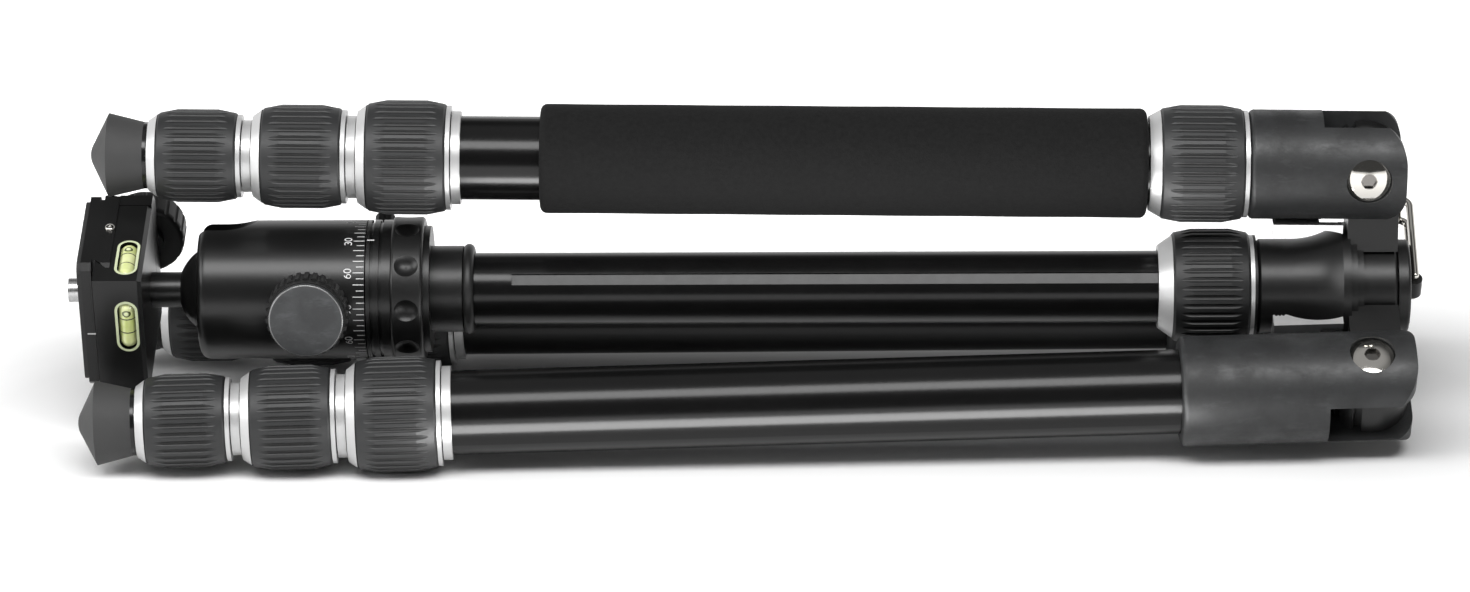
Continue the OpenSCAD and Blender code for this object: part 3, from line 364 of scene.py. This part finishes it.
def bolt_chrome_look():
    """Polished bolt heads, with painted shade inside their hexagon sockets."""
    look = Look("bolt_chrome", Metallic=1.0)
    sockets = []
    for leg in LEGS:
        from_axis = look.away(LEG_PIVOT[leg], Vector(JOINTS[f"{leg}_leg_hinge"]["axis"]))
        sockets.append(look.span(from_axis, BOLT_SOCKET_INNER_R * MM, BOLT_SOCKET_R * MM, 1, 0))
    # Painted shade: the chrome is darkened inside each hexagon socket
    socket = look.highest(sockets)
    polish = look.spread(look.noise(scale=400, detail=3), 0.05, 0.1)
    look.put(
        Base_Color=look.blend(socket, CHROME_COLOUR, BOLT_SOCKET_SHADE),
        Roughness=look.maths("ADD", polish, look.maths("MULTIPLY", socket, 0.12)),
    )
    return look.material


def set_look(material, *nodes):
    for name in nodes:
        mesh_object = NODES[name]
        if not mesh_object.material_slots:
            mesh_object.data.materials.append(material)
        for slot in mesh_object.material_slots:
            slot.material = material


# Looks of the CAD nodes

CHROME = plain_look("chrome", dark=CHROME_COLOUR, light=(0.6, 0.58, 0.54, 1), roughness=0.07,
                    grain=500, strength=0.04, Metallic=1.0)
CAST_BLACK = plain_look("cast_black", dark=grey(0.006), light=grey(0.009), roughness=0.36,
                        strength=0.12, Specular_IOR_Level=0.4)
CAST_GREY = cast_look("cast_grey", dark=grey(0.017, -0.03), light=grey(0.029, -0.03),
                      roughness=0.46)
ANODISED = plain_look("anodised", dark=TUBE_BLACK, light=grey(0.006), roughness=TUBE_ROUGHNESS,
                      grain=400, strength=0.02, Specular_IOR_Level=TUBE_SPECULAR)
HEAD_BLACK = plain_look("head_black", dark=grey(0.005), light=grey(0.008), roughness=0.3,
                        grain=2200, strength=0.03, Specular_IOR_Level=0.4)
GLOSS_BLACK = plain_look("gloss_black", dark=grey(0.006), light=grey(0.009), roughness=0.18,
                         strength=0.03, Specular_IOR_Level=0.4)
FOOT_RUBBER = plain_look("foot_rubber", dark=grey(0.046), light=grey(0.056), roughness=0.65,
                         grain=500, strength=0.35, Specular_IOR_Level=0.3)
SEAL = plain_look("seal_rubber", dark=grey(0.01), light=grey(0.014), roughness=0.42,
                  Specular_IOR_Level=0.4)
KNOB_BLACK = plain_look("knob_black", dark=grey(0.01), light=grey(0.014), roughness=0.42,
                        Specular_IOR_Level=0.35)
SEAT = plain_look("seat_plastic", dark=grey(0.5), light=grey(0.55), roughness=0.5)
PAD = plain_look("pad_rubber", dark=grey(0.02), light=grey(0.026), roughness=0.7,
                 grain=700, strength=0.5)
STEEL = turned_look("steel", base=grey(0.55), roughness=0.3, axis=(1, 0, 0))
DISC = cast_look("disc_grey", dark=grey(0.034, -0.04), light=grey(0.048, -0.04), roughness=0.42)

for leg in LEGS:
    pivot, axis = LEG_PIVOT[leg], LEG_AXIS[leg]
    for number in (1, 2, 3):
        collar = FIRST_COLLAR[leg] + (number - 1) * LOCK_PITCH
        bands = [(collar - COLLAR_SPILL, collar + COLLAR_LEN + COLLAR_SPILL)]
        tube = banded_look(f"{leg}_tube_{number}_finish", pivot, axis, bands, TUBE_BLACK,
                           TUBE_ROUGHNESS, relief=0.03, Specular_IOR_Level=TUBE_SPECULAR)
        set_look(tube, f"{leg}_tube_{number}")
        lock = collar + COLLAR_LEN + END_GAP
        crown_r = TUBE_R - (number - 1) * TUBE_STEP + CROWN_PROUD
        nut = nut_look(f"{leg}_lock_{number}_finish", pivot, axis,
                       (lock - RING_REACH, lock + RING_LEN), GRIP_LEN, crown_r)
        set_look(nut, f"{leg}_lock_{number}")
    set_look(GLOSS_BLACK, f"{leg}_tube_4")
    set_look(FOOT_RUBBER, f"{leg}_foot")
    set_look(CAST_GREY, f"{leg}_fork")
    tab = turned_look(f"{leg}_tab_finish", grey(0.85), 0.32, tuple(axis), strength=0.03)
    set_look(tab, f"{leg}_stop_tab")

coupling_nut = nut_look("coupling_finish", LEG_PIVOT["top"], LEG_AXIS["top"],
                        (COUPLING_START - RING_REACH, COUPLING_START + COUPLING_RING_LEN),
                        COUPLING_GRIP_LEN, COUPLING_CROWN_R)
set_look(coupling_nut, "monopod_ring")
column_lock_end = Vector((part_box("column_lock")[1].x, 0, COLUMN_Z))
column_nut = nut_look("column_lock_finish", column_lock_end, Vector((-1, 0, 0)),
                      (COLUMN_RING_DARK, COLUMN_RING_LEN), COLUMN_GRIP_LEN, COLUMN_CROWN_R,
                      rubber=COLUMN_RUBBER)
set_look(column_nut, "column_lock")
set_look(CAST_BLACK, "spider", "column_cap", "head_base")
set_look(KNOB_BLACK, "column_bush", "pan_knob", "ball_knob", "clamp_knob")
set_look(bolt_chrome_look(), "pivot_bolts")
set_look(CHROME, "bag_hook")
set_look(STEEL, "monopod_stud", "camera_screw")
set_look(ANODISED, "column_tube")
set_look(SEAL, "o_ring")
set_look(HEAD_BLACK, "pan_base", "ball_housing", "ball_stem", "clamp_base", "clamp_jaw",
         "quick_plate")
set_look(SEAT, "ball_seat")
set_look(PAD, "plate_pad")
set_look(DISC, "knob_disc")

# Mesh helpers


def add_object(name, vertices, faces, material, smooth=True):
    mesh = bpy.data.meshes.new(name)
    mesh.from_pydata([tuple(vertex) for vertex in vertices], [], faces)
    mesh.update()
    made = bpy.data.objects.new(name, mesh)
    bpy.context.scene.collection.objects.link(made)
    mesh.materials.append(material)
    if smooth:
        mesh.polygons.foreach_set("use_smooth", [True] * len(mesh.polygons))
    return made


def square_axes(axis):
    side = Vector((0, 0, 1)) if abs(axis.z) < 0.9 else Vector((1, 0, 0))
    first = axis.cross(side).normalized()
    return first, axis.cross(first).normalized()


def lathe(name, origin, axis, profile, material, segments=96):
    """A closed surface of revolution. profile is a closed loop of (distance along axis, radius)."""
    first, second = square_axes(axis)
    rows = len(profile)
    vertices, faces = [], []
    for along, radius in profile:
        for step in range(segments):
            turn = math.tau * step / segments
            spoke = first * math.cos(turn) + second * math.sin(turn)
            vertices.append(origin + (axis * along + spoke * radius) * MM)
    for row in range(rows):
        near, far = row * segments, (row + 1) % rows * segments
        for step in range(segments):
            after = (step + 1) % segments
            faces.append((near + step, near + after, far + after, far + step))
    made = add_object(name, vertices, faces, material)
    bm = bmesh.new()
    bm.from_mesh(made.data)
    bmesh.ops.recalc_face_normals(bm, faces=bm.faces)
    bm.to_mesh(made.data)
    bm.free()
    return made


def stroke_sides(line, half):
    """Left and right sides of a flat stroke of the given half width."""
    sides = []
    for index, (u, v) in enumerate(line):
        before = line[max(index - 1, 0)]
        after = line[min(index + 1, len(line) - 1)]
        du, dv = after[0] - before[0], after[1] - before[1]
        size = math.hypot(du, dv)
        across_u, across_v = -dv / size * half, du / size * half
        sides.append(((u + across_u, v + across_v), (u - across_u, v - across_v)))
    return sides


def strokes_object(name, lines, half, place, material):
    """Flat strokes: every line becomes a narrow strip, put in space by place(u, v)."""
    vertices, faces = [], []
    for line in lines:
        first = len(vertices)
        for left, right in stroke_sides(line, half):
            vertices += [place(*left), place(*right)]
        for index in range(len(line) - 1):
            a = first + 2 * index
            faces.append((a, a + 1, a + 3, a + 2))
    return add_object(name, vertices, faces, material, smooth=False)


def arc(centre, reach, start, end, steps=14):
    points = []
    for step in range(steps + 1):
        turn = math.radians(start + (end - start) * step / steps)
        points.append((centre[0] + reach[0] * math.cos(turn),
                       centre[1] + reach[1] * math.sin(turn)))
    return points


# Foam grip

foam_look = Look("foam", Roughness=0.9, Specular_IOR_Level=0.2)
soft = foam_look.noise(scale=900, detail=4, roughness=0.65)
foam_look.put(Base_Color=foam_look.blend(foam_look.spread(soft), grey(0.005), grey(0.01)))
foam_look.bump(foam_look.maths("ADD", foam_look.cells(2600), soft), strength=0.6, depth=FOAM_DEPTH)

foam_edge = []
for step in range(FOAM_EDGE_STEPS + 1):
    bend = math.pi / 2 * step / FOAM_EDGE_STEPS
    foam_edge.append((FOAM_START + FOAM_EDGE * (1 - math.cos(bend)),
                      FOAM_R - FOAM_EDGE * (1 - math.sin(bend))))
foam_profile = list(foam_edge)
for step in range(1, FOAM_WAVE_STEPS):
    share = step / FOAM_WAVE_STEPS
    foam_profile.append((FOAM_START + FOAM_EDGE + (FOAM_END - FOAM_START - 2 * FOAM_EDGE) * share,
                         FOAM_R - FOAM_WAVE * math.sin(share * math.pi * FOAM_WAVES) ** 2))
foam_profile += [(FOAM_START + FOAM_END - along, radius) for along, radius in reversed(foam_edge)]
foam_profile += [(FOAM_END, FOAM_BORE_R), (FOAM_START, FOAM_BORE_R)]
foam = lathe("foam_sleeve", LEG_PIVOT["top"], LEG_AXIS["top"], foam_profile, foam_look.material)
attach(foam, "top_leg")
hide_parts("foam_grip")

# Head details

HOUSING_R = 18.3
CLAMP_ANGLE = 14
CLAMP_HALF_LEN = 19.0
CLAMP_SIDE = 23.5
PRINT_LIFT = 0.02
HEAD_AXIS_POINT = Vector((0, 0, COLUMN_Z))


def about_column(x, angle, radius):
    """A point at the given place along X, angle from +Z towards -Y, and radius."""
    turn = math.radians(angle)
    return HEAD_AXIS_POINT + Vector((x, -radius * math.sin(turn), radius * math.cos(turn))) * MM


def clamp_way(x, y, z):
    """A vector of the clamp's own frame, whose z runs along the dovetail."""
    turn = math.radians(CLAMP_ANGLE)
    return Vector((x, y * math.cos(turn) - z * math.sin(turn),
                   y * math.sin(turn) + z * math.cos(turn)))


def in_clamp(x, y, z):
    """A point of the clamp's own frame."""
    return HEAD_AXIS_POINT + clamp_way(x, y, z) * MM


# Digits in a box 0.6 wide and 1 high
SIX = [arc((0.3, 0.3), (0.3, 0.3), 0, 360), arc((0.75, 0.3), (0.75, 0.7), 180, 116)]
DIGITS = {
    "0": [arc((0.3, 0.5), (0.3, 0.5), 0, 360, 20)],
    "3": [arc((0.28, 0.75), (0.28, 0.25), 150, -90), arc((0.28, 0.26), (0.3, 0.26), 90, -150)],
    "6": SIX,
    "9": [[(0.6 - u, 1 - v) for u, v in line] for line in SIX],
}

# Dial: marks round the housing, in degrees, and their numbers
DIAL_R = HOUSING_R + PRINT_LIFT
DIAL_EDGE = -99.5
DIAL_TURN = -4
TICK_EVERY = 5
LONG_TICK_EVERY = 10
NUMBER_EVERY = 30
TICK_SHORT = 2.0
TICK_LONG = 2.9
TICK_HALF = 0.1
NUMBER_GAP = 0.5
DIGIT_TALL = 1.8
DIGIT_WIDE = 1.71
DIGIT_PITCH = 1.45
DIGIT_HALF = 0.12
DEGREES_PER_MM = math.degrees(1 / DIAL_R)


def dial_word(mark):
    """The number at a mark, which counts from 0 to 90 and back."""
    folded = mark % 180
    return str(min(folded, 180 - folded))


def word_lines(word):
    lines = []
    for index, digit in enumerate(word):
        shift = (index - len(word) / 2) * DIGIT_PITCH
        for line in DIGITS[digit]:
            lines.append([(shift + u * DIGIT_WIDE, v * DIGIT_TALL) for u, v in line])
    return lines


PRINT = plain_look("white_print", dark=grey(0.72), light=grey(0.66), roughness=0.5, strength=0.1)
tick_lines = []
for mark in range(0, 360, TICK_EVERY):
    reach = TICK_SHORT if mark % LONG_TICK_EVERY else TICK_LONG
    run = mark / DEGREES_PER_MM
    tick_lines.append([(DIAL_EDGE, run), (DIAL_EDGE - reach, run)])
ticks = strokes_object(
    "dial_ticks", tick_lines, TICK_HALF,
    lambda x, run: about_column(x, run * DEGREES_PER_MM + DIAL_TURN, DIAL_R), PRINT)
digits = []
for mark in range(0, 360, NUMBER_EVERY):
    digits.append(strokes_object(
        f"dial_number_{mark}", word_lines(dial_word(mark)), DIGIT_HALF,
        lambda u, v, mark=mark: about_column(DIAL_EDGE - TICK_LONG - NUMBER_GAP - v,
                                             mark + DIAL_TURN - u * DEGREES_PER_MM, DIAL_R),
        PRINT))

# Index mark of the dial
INDEX_START = -98.9
INDEX_LEN = 1.9
INDEX_HALF = 0.16
INDEX_ANGLE = 25
index_mark = strokes_object(
    "dial_index", [[(0, 0), (INDEX_LEN, 0)]], INDEX_HALF,
    lambda u, v: about_column(INDEX_START + u, INDEX_ANGLE + v * DEGREES_PER_MM, DIAL_R), PRINT)
for piece in [ticks] + digits:
    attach(piece, "head")
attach(index_mark, "column")

# Bright rim of the ball lock knob's disc, as (distance past the knob's face, radius)
KNOB_REACH = 29.0
RIM_PROFILE = ((-0.9, 9.3), (-0.9, 9.76), (-0.3, 9.8), (-0.05, 9.62), (0.02, 9.4), (-0.12, 9.3))
knob_axis = Vector(JOINTS["ball_knob_turn"]["axis"])
knob_foot = Vector(JOINTS["ball_knob_turn"]["pos_m"])
RIM = turned_look("disc_rim", base=grey(0.25), roughness=0.35, axis=tuple(knob_axis), strength=0.05)
rim = lathe("disc_rim", knob_foot, knob_axis,
            [(KNOB_REACH + past, radius) for past, radius in RIM_PROFILE], RIM)
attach(rim, "ball_lock")

# Vials, with two black rings and a bubble each
VIAL_R = 2.4
END_VIAL_AT = CLAMP_HALF_LEN * 0.67
SIDE_VIAL_AT = CLAMP_HALF_LEN * 0.24
VIAL_RING_AT = 2.1
VIAL_RING_PROFILE = ((-0.16, -0.2), (-0.16, 0.0), (-0.08, 0.04),
                     (0.08, 0.04), (0.16, 0.0), (0.16, -0.2))
BUBBLE_AT = 3.9
BUBBLE_R = 1.9
BUBBLE_HALF_LEN = 3.2
BUBBLE_PROUD = 0.1
BUBBLE_STEPS = 20
BUBBLE_EYE_R = 0.45
BUBBLE_EDGE_R = 0.75
TIP_R = 0.02
VIAL_GLASS = {"Coat_Weight": 1.0, "Coat_Roughness": 0.03}
LIQUID_GREEN = (0.58, 0.66, 0.22, 1)
LIQUID_PALE = (0.78, 0.82, 0.44, 1)
BUBBLE_EYE = (0.8, 0.85, 0.5, 1)
# Painted shade round the edge of each bubble, where it bends the light away
BUBBLE_EDGE_SHADE = (0.08, 0.1, 0.03, 1)

vial_look = Look("vial_liquid", Roughness=0.12, Specular_IOR_Level=0.6, **VIAL_GLASS)
vial_cloud = vial_look.spread(vial_look.noise(scale=160, detail=3))
vial_look.put(Base_Color=vial_look.blend(vial_cloud, LIQUID_GREEN, LIQUID_PALE))
set_look(vial_look.material, "bubble_vials")
VIAL_BLACK = plain_look("vial_ring", dark=grey(0.01), light=grey(0.014), roughness=0.3,
                        strength=0.05)

clamp_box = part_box("bubble_vials")
vial_x = (clamp_box[0].x + clamp_box[1].x) / 2 / MM
bubble_bends = [math.pi * step / BUBBLE_STEPS for step in range(BUBBLE_STEPS + 1)]
bubble_profile = [(BUBBLE_HALF_LEN * math.cos(bend), max(BUBBLE_R * math.sin(bend), TIP_R))
                  for bend in bubble_bends]

# Middle, long way and outward way of each vial
VIALS = {
    "end": (in_clamp(vial_x, -END_VIAL_AT, CLAMP_HALF_LEN - VIAL_R),
            clamp_way(0, 1, 0), clamp_way(0, 0, 1)),
    "side": (in_clamp(vial_x, VIAL_R - CLAMP_SIDE, SIDE_VIAL_AT),
             clamp_way(0, 0, 1), clamp_way(0, -1, 0)),
}
for name, (middle, long_way, out_way) in VIALS.items():
    for number, side in enumerate((-1, 1)):
        ring_profile = [(side * VIAL_RING_AT + along, VIAL_R + proud)
                        for along, proud in VIAL_RING_PROFILE]
        ring = lathe(f"vial_{name}_ring_{number}", middle, long_way, ring_profile, VIAL_BLACK)
        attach(ring, "clamp")
    heart = middle + (long_way * BUBBLE_AT + out_way * (VIAL_R + BUBBLE_PROUD - BUBBLE_R)) * MM
    bubble_look = Look(f"vial_{name}_bubble", Roughness=0.1, **VIAL_GLASS)
    # Painted shade: each bubble is pale in its middle and darkened towards its edge
    bubble_edge_shade = bubble_look.span(bubble_look.away(heart, out_way), BUBBLE_EYE_R * MM,
                            BUBBLE_EDGE_R * MM, 0, 1)
    bubble_look.put(Base_Color=bubble_look.blend(bubble_edge_shade, BUBBLE_EYE, BUBBLE_EDGE_SHADE))
    bubble = lathe(f"vial_{name}_bubble", heart, long_way, bubble_profile, bubble_look.material,
                   segments=48)
    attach(bubble, "clamp")

# Pale frame round each vial's window
FRAME_HALF_W = 2.65
FRAME_HALF_LEN = 7.55
FRAME_HALF = 0.35
FRAME_LOOK = plain_look("vial_frame", dark=(0.5, 0.56, 0.34, 1), light=(0.62, 0.67, 0.46, 1),
                        roughness=0.3, strength=0.05)
straight = FRAME_HALF_LEN - FRAME_HALF_W
frame_reach = (FRAME_HALF_W, FRAME_HALF_W)
pill = ([(FRAME_HALF_W, -straight), (FRAME_HALF_W, straight)]
        + [(u, straight + v) for u, v in arc((0, 0), frame_reach, 0, 180)]
        + [(-FRAME_HALF_W, -straight)]
        + [(u, v - straight) for u, v in arc((0, 0), frame_reach, 180, 360)])
end_frame = strokes_object(
    "vial_end_frame", [pill], FRAME_HALF,
    lambda u, v: in_clamp(vial_x + u, v - END_VIAL_AT, CLAMP_HALF_LEN + PRINT_LIFT), FRAME_LOOK)
side_frame = strokes_object(
    "vial_side_frame", [pill], FRAME_HALF,
    lambda u, v: in_clamp(vial_x + u, -CLAMP_SIDE - PRINT_LIFT, SIDE_VIAL_AT + v), FRAME_LOOK)
for piece in (end_frame, side_frame):
    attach(piece, "clamp")

# Index line on the plate's side, and the safety pin at its end
PLATE_HALF_W = 17.0
PLATE_HALF_LEN = 19.3
PLATE_LINE_INSET = 0.6
PLATE_LINE_LEN = 3.6
PLATE_LINE_AT = -2.25
PLATE_LINE_HALF = 0.2
PIN_X = -166.7
PIN_Y = 0.6
PIN_R = 1.3
PIN_PROFILE = ((-0.5, TIP_R), (-0.5, PIN_R), (0.4, PIN_R), (0.7, PIN_R - 0.3), (0.7, TIP_R))
plate_line_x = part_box("quick_plate")[0].x / MM + PLATE_LINE_INSET
plate_index = strokes_object(
    "plate_index", [[(0, PLATE_LINE_AT), (PLATE_LINE_LEN, PLATE_LINE_AT)]], PLATE_LINE_HALF,
    lambda u, v: in_clamp(plate_line_x + u, -PLATE_HALF_W - PRINT_LIFT, v), PRINT)
plate_pin = lathe("plate_pin", in_clamp(PIN_X, PIN_Y, PLATE_HALF_LEN), clamp_way(0, 0, 1),
                  PIN_PROFILE, CHROME, segments=32)
for piece, name in ((plate_index, "bright_aluminium"), (plate_pin, "steel")):
    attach(piece, "plate")

# Floor, in metres: a disc that glows for shown rays away from the tripod, and keeps its shadow
FLOOR_R = 4.0
FLOOR_ROWS = 24
FLOOR_SIDES = 64
FLOOR_GLOW = 0.6
GLOW_START = 0.04
GLOW_END = 0.16
TRIPOD_HALF_LEN = 0.16


def floor_disc(material):
    vertices = [Vector((0, 0, 0))]
    for row in range(1, FLOOR_ROWS + 1):
        radius = FLOOR_R * (row / FLOOR_ROWS) ** 2
        for step in range(FLOOR_SIDES):
            turn = math.tau * step / FLOOR_SIDES
            vertices.append(Vector((radius * math.cos(turn), radius * math.sin(turn), 0)))
    faces = [(0, 1 + step, 1 + (step + 1) % FLOOR_SIDES) for step in range(FLOOR_SIDES)]
    for row in range(FLOOR_ROWS - 1):
        first = 1 + row * FLOOR_SIDES
        for step in range(FLOOR_SIDES):
            a, b = first + step, first + (step + 1) % FLOOR_SIDES
            faces.append((a, a + FLOOR_SIDES, b + FLOOR_SIDES, b))
    return add_object("floor", vertices, faces, material)


floor_look = Look("floor", Roughness=0.95, Specular_IOR_Level=0.0, Emission_Color=grey(1.0))
flat = floor_look.node("ShaderNodeSeparateXYZ")
floor_look.link(floor_look.coords, flat.inputs[0])
from_middle = floor_look.maths("ABSOLUTE", flat.outputs["X"])
past_end = floor_look.maths("MAXIMUM", floor_look.maths("SUBTRACT", from_middle, TRIPOD_HALF_LEN))
squares = [floor_look.maths("MULTIPLY", part, part) for part in (past_end, flat.outputs["Y"])]
from_tripod = floor_look.maths("SQRT", floor_look.maths("ADD", *squares))
glow = floor_look.span(from_tripod, GLOW_START, GLOW_END, 0, FLOOR_GLOW)
floor_look.put(
    Base_Color=floor_look.blend(floor_look.noise(scale=3, detail=3), grey(0.9), grey(0.92)),
    Emission_Strength=floor_look.maths("MULTIPLY", floor_look.shown_rays(), glow),
)
floor = floor_disc(floor_look.material)

# A dim studio; the shown rays also meet a white backdrop behind the tripod and a pale ceiling
STUDIO_LIGHT = 0.16
STUDIO_SHOWN = 0.06
CEILING_SHOWN = 0.4
BACKDROP_LIGHT = 0.85

# Where a ray's direction, from -1 to 1, starts and stops to change what it meets
BACKDROP_Y = (-0.5, 0.1)
BACKDROP_TOP_Z = (0.35, 0.65)
CEILING_Z = (0.8, 0.95)

world = bpy.data.worlds.new("studio")
bpy.context.scene.world = world
world.use_nodes = True
studio = Nodes(world.node_tree)
parts = studio.node("ShaderNodeSeparateXYZ")
studio.link(studio.node("ShaderNodeTexCoord").outputs["Generated"], parts.inputs[0])
behind = studio.span(parts.outputs["Y"], *BACKDROP_Y, 0, BACKDROP_LIGHT, "SMOOTHSTEP")
below = studio.span(parts.outputs["Z"], *BACKDROP_TOP_Z, 1, 0, "SMOOTHSTEP")
ceiling = studio.span(parts.outputs["Z"], *CEILING_Z, STUDIO_SHOWN - STUDIO_LIGHT,
                      CEILING_SHOWN - STUDIO_LIGHT, "SMOOTHSTEP")
shown = studio.maths("ADD", studio.maths("MULTIPLY", behind, below), ceiling)
change = studio.maths("MULTIPLY", shown, studio.shown_rays())
sky = world.node_tree.nodes["Background"]
studio.link(studio.maths("ADD", change, STUDIO_LIGHT), sky.inputs["Strength"])
sky.inputs["Color"].default_value = grey(1.0)


def add_softbox(name, place, aim, size, power):
    """A rectangular area lamp, in metres and watts."""
    data = bpy.data.lights.new(name, "AREA")
    data.shape = "RECTANGLE"
    data.size, data.size_y = size
    data.energy = power
    made = bpy.data.objects.new(name, data)
    bpy.context.scene.collection.objects.link(made)
    made.location = place
    made.rotation_euler = (Vector(aim) - Vector(place)).to_track_quat("-Z", "Y").to_euler()
    return made


add_softbox("key", place=(-0.05, -0.66, 1.02), aim=(0, 0, 0.03), size=(1.5, 0.42), power=17.5)
add_softbox("left", place=(-1.0, -0.28, 0.45), aim=(-0.05, 0, 0.04), size=(0.6, 0.6), power=5.5)

# A reflector strip on the floor, which only shows as a line in the glossy tubes
REFLECTOR_X = 0.02
REFLECTOR_Y = -0.0835
reflector = add_softbox("reflector", place=(REFLECTOR_X, REFLECTOR_Y, 0.0005),
                        aim=(REFLECTOR_X, REFLECTOR_Y, 1), size=(0.2, 0.041), power=0.4)
reflector.visible_camera = False
reflector.visible_diffuse = False

# The camera looks across the column, slightly from above
CAMERA_PLACE = Vector((15.64, -1543.04, 616.79)) * MM
CAMERA_YAW = math.radians(0.676)
CAMERA_PITCH = math.radians(20.697)
CAMERA_ROLL = math.radians(-0.43)
FOCAL_PX = 6239.4
PHOTO_WIDTH_PX = 1470
SENSOR_MM = 36.0
CLIP_START = 0.05
camera_data = bpy.data.cameras.new("camera")
camera_data.sensor_width = SENSOR_MM
camera_data.lens = FOCAL_PX / PHOTO_WIDTH_PX * SENSOR_MM
camera_data.clip_start = CLIP_START
camera = bpy.data.objects.new("camera", camera_data)
bpy.context.scene.collection.objects.link(camera)
forward = Vector((-math.sin(CAMERA_YAW) * math.cos(CAMERA_PITCH),
                  math.cos(CAMERA_YAW) * math.cos(CAMERA_PITCH),
                  -math.sin(CAMERA_PITCH)))
level = forward.cross(Vector((0, 0, 1))).normalized()
right = level * math.cos(CAMERA_ROLL) + level.cross(forward) * math.sin(CAMERA_ROLL)
upward = right.cross(forward)
turned = Matrix((right, upward, -forward)).transposed().to_4x4()
camera.matrix_world = Matrix.Translation(CAMERA_PLACE) @ turned
bpy.context.scene.camera = camera
bpy.context.scene.view_settings.view_transform = "Standard"

bpy.context.view_layer.update()
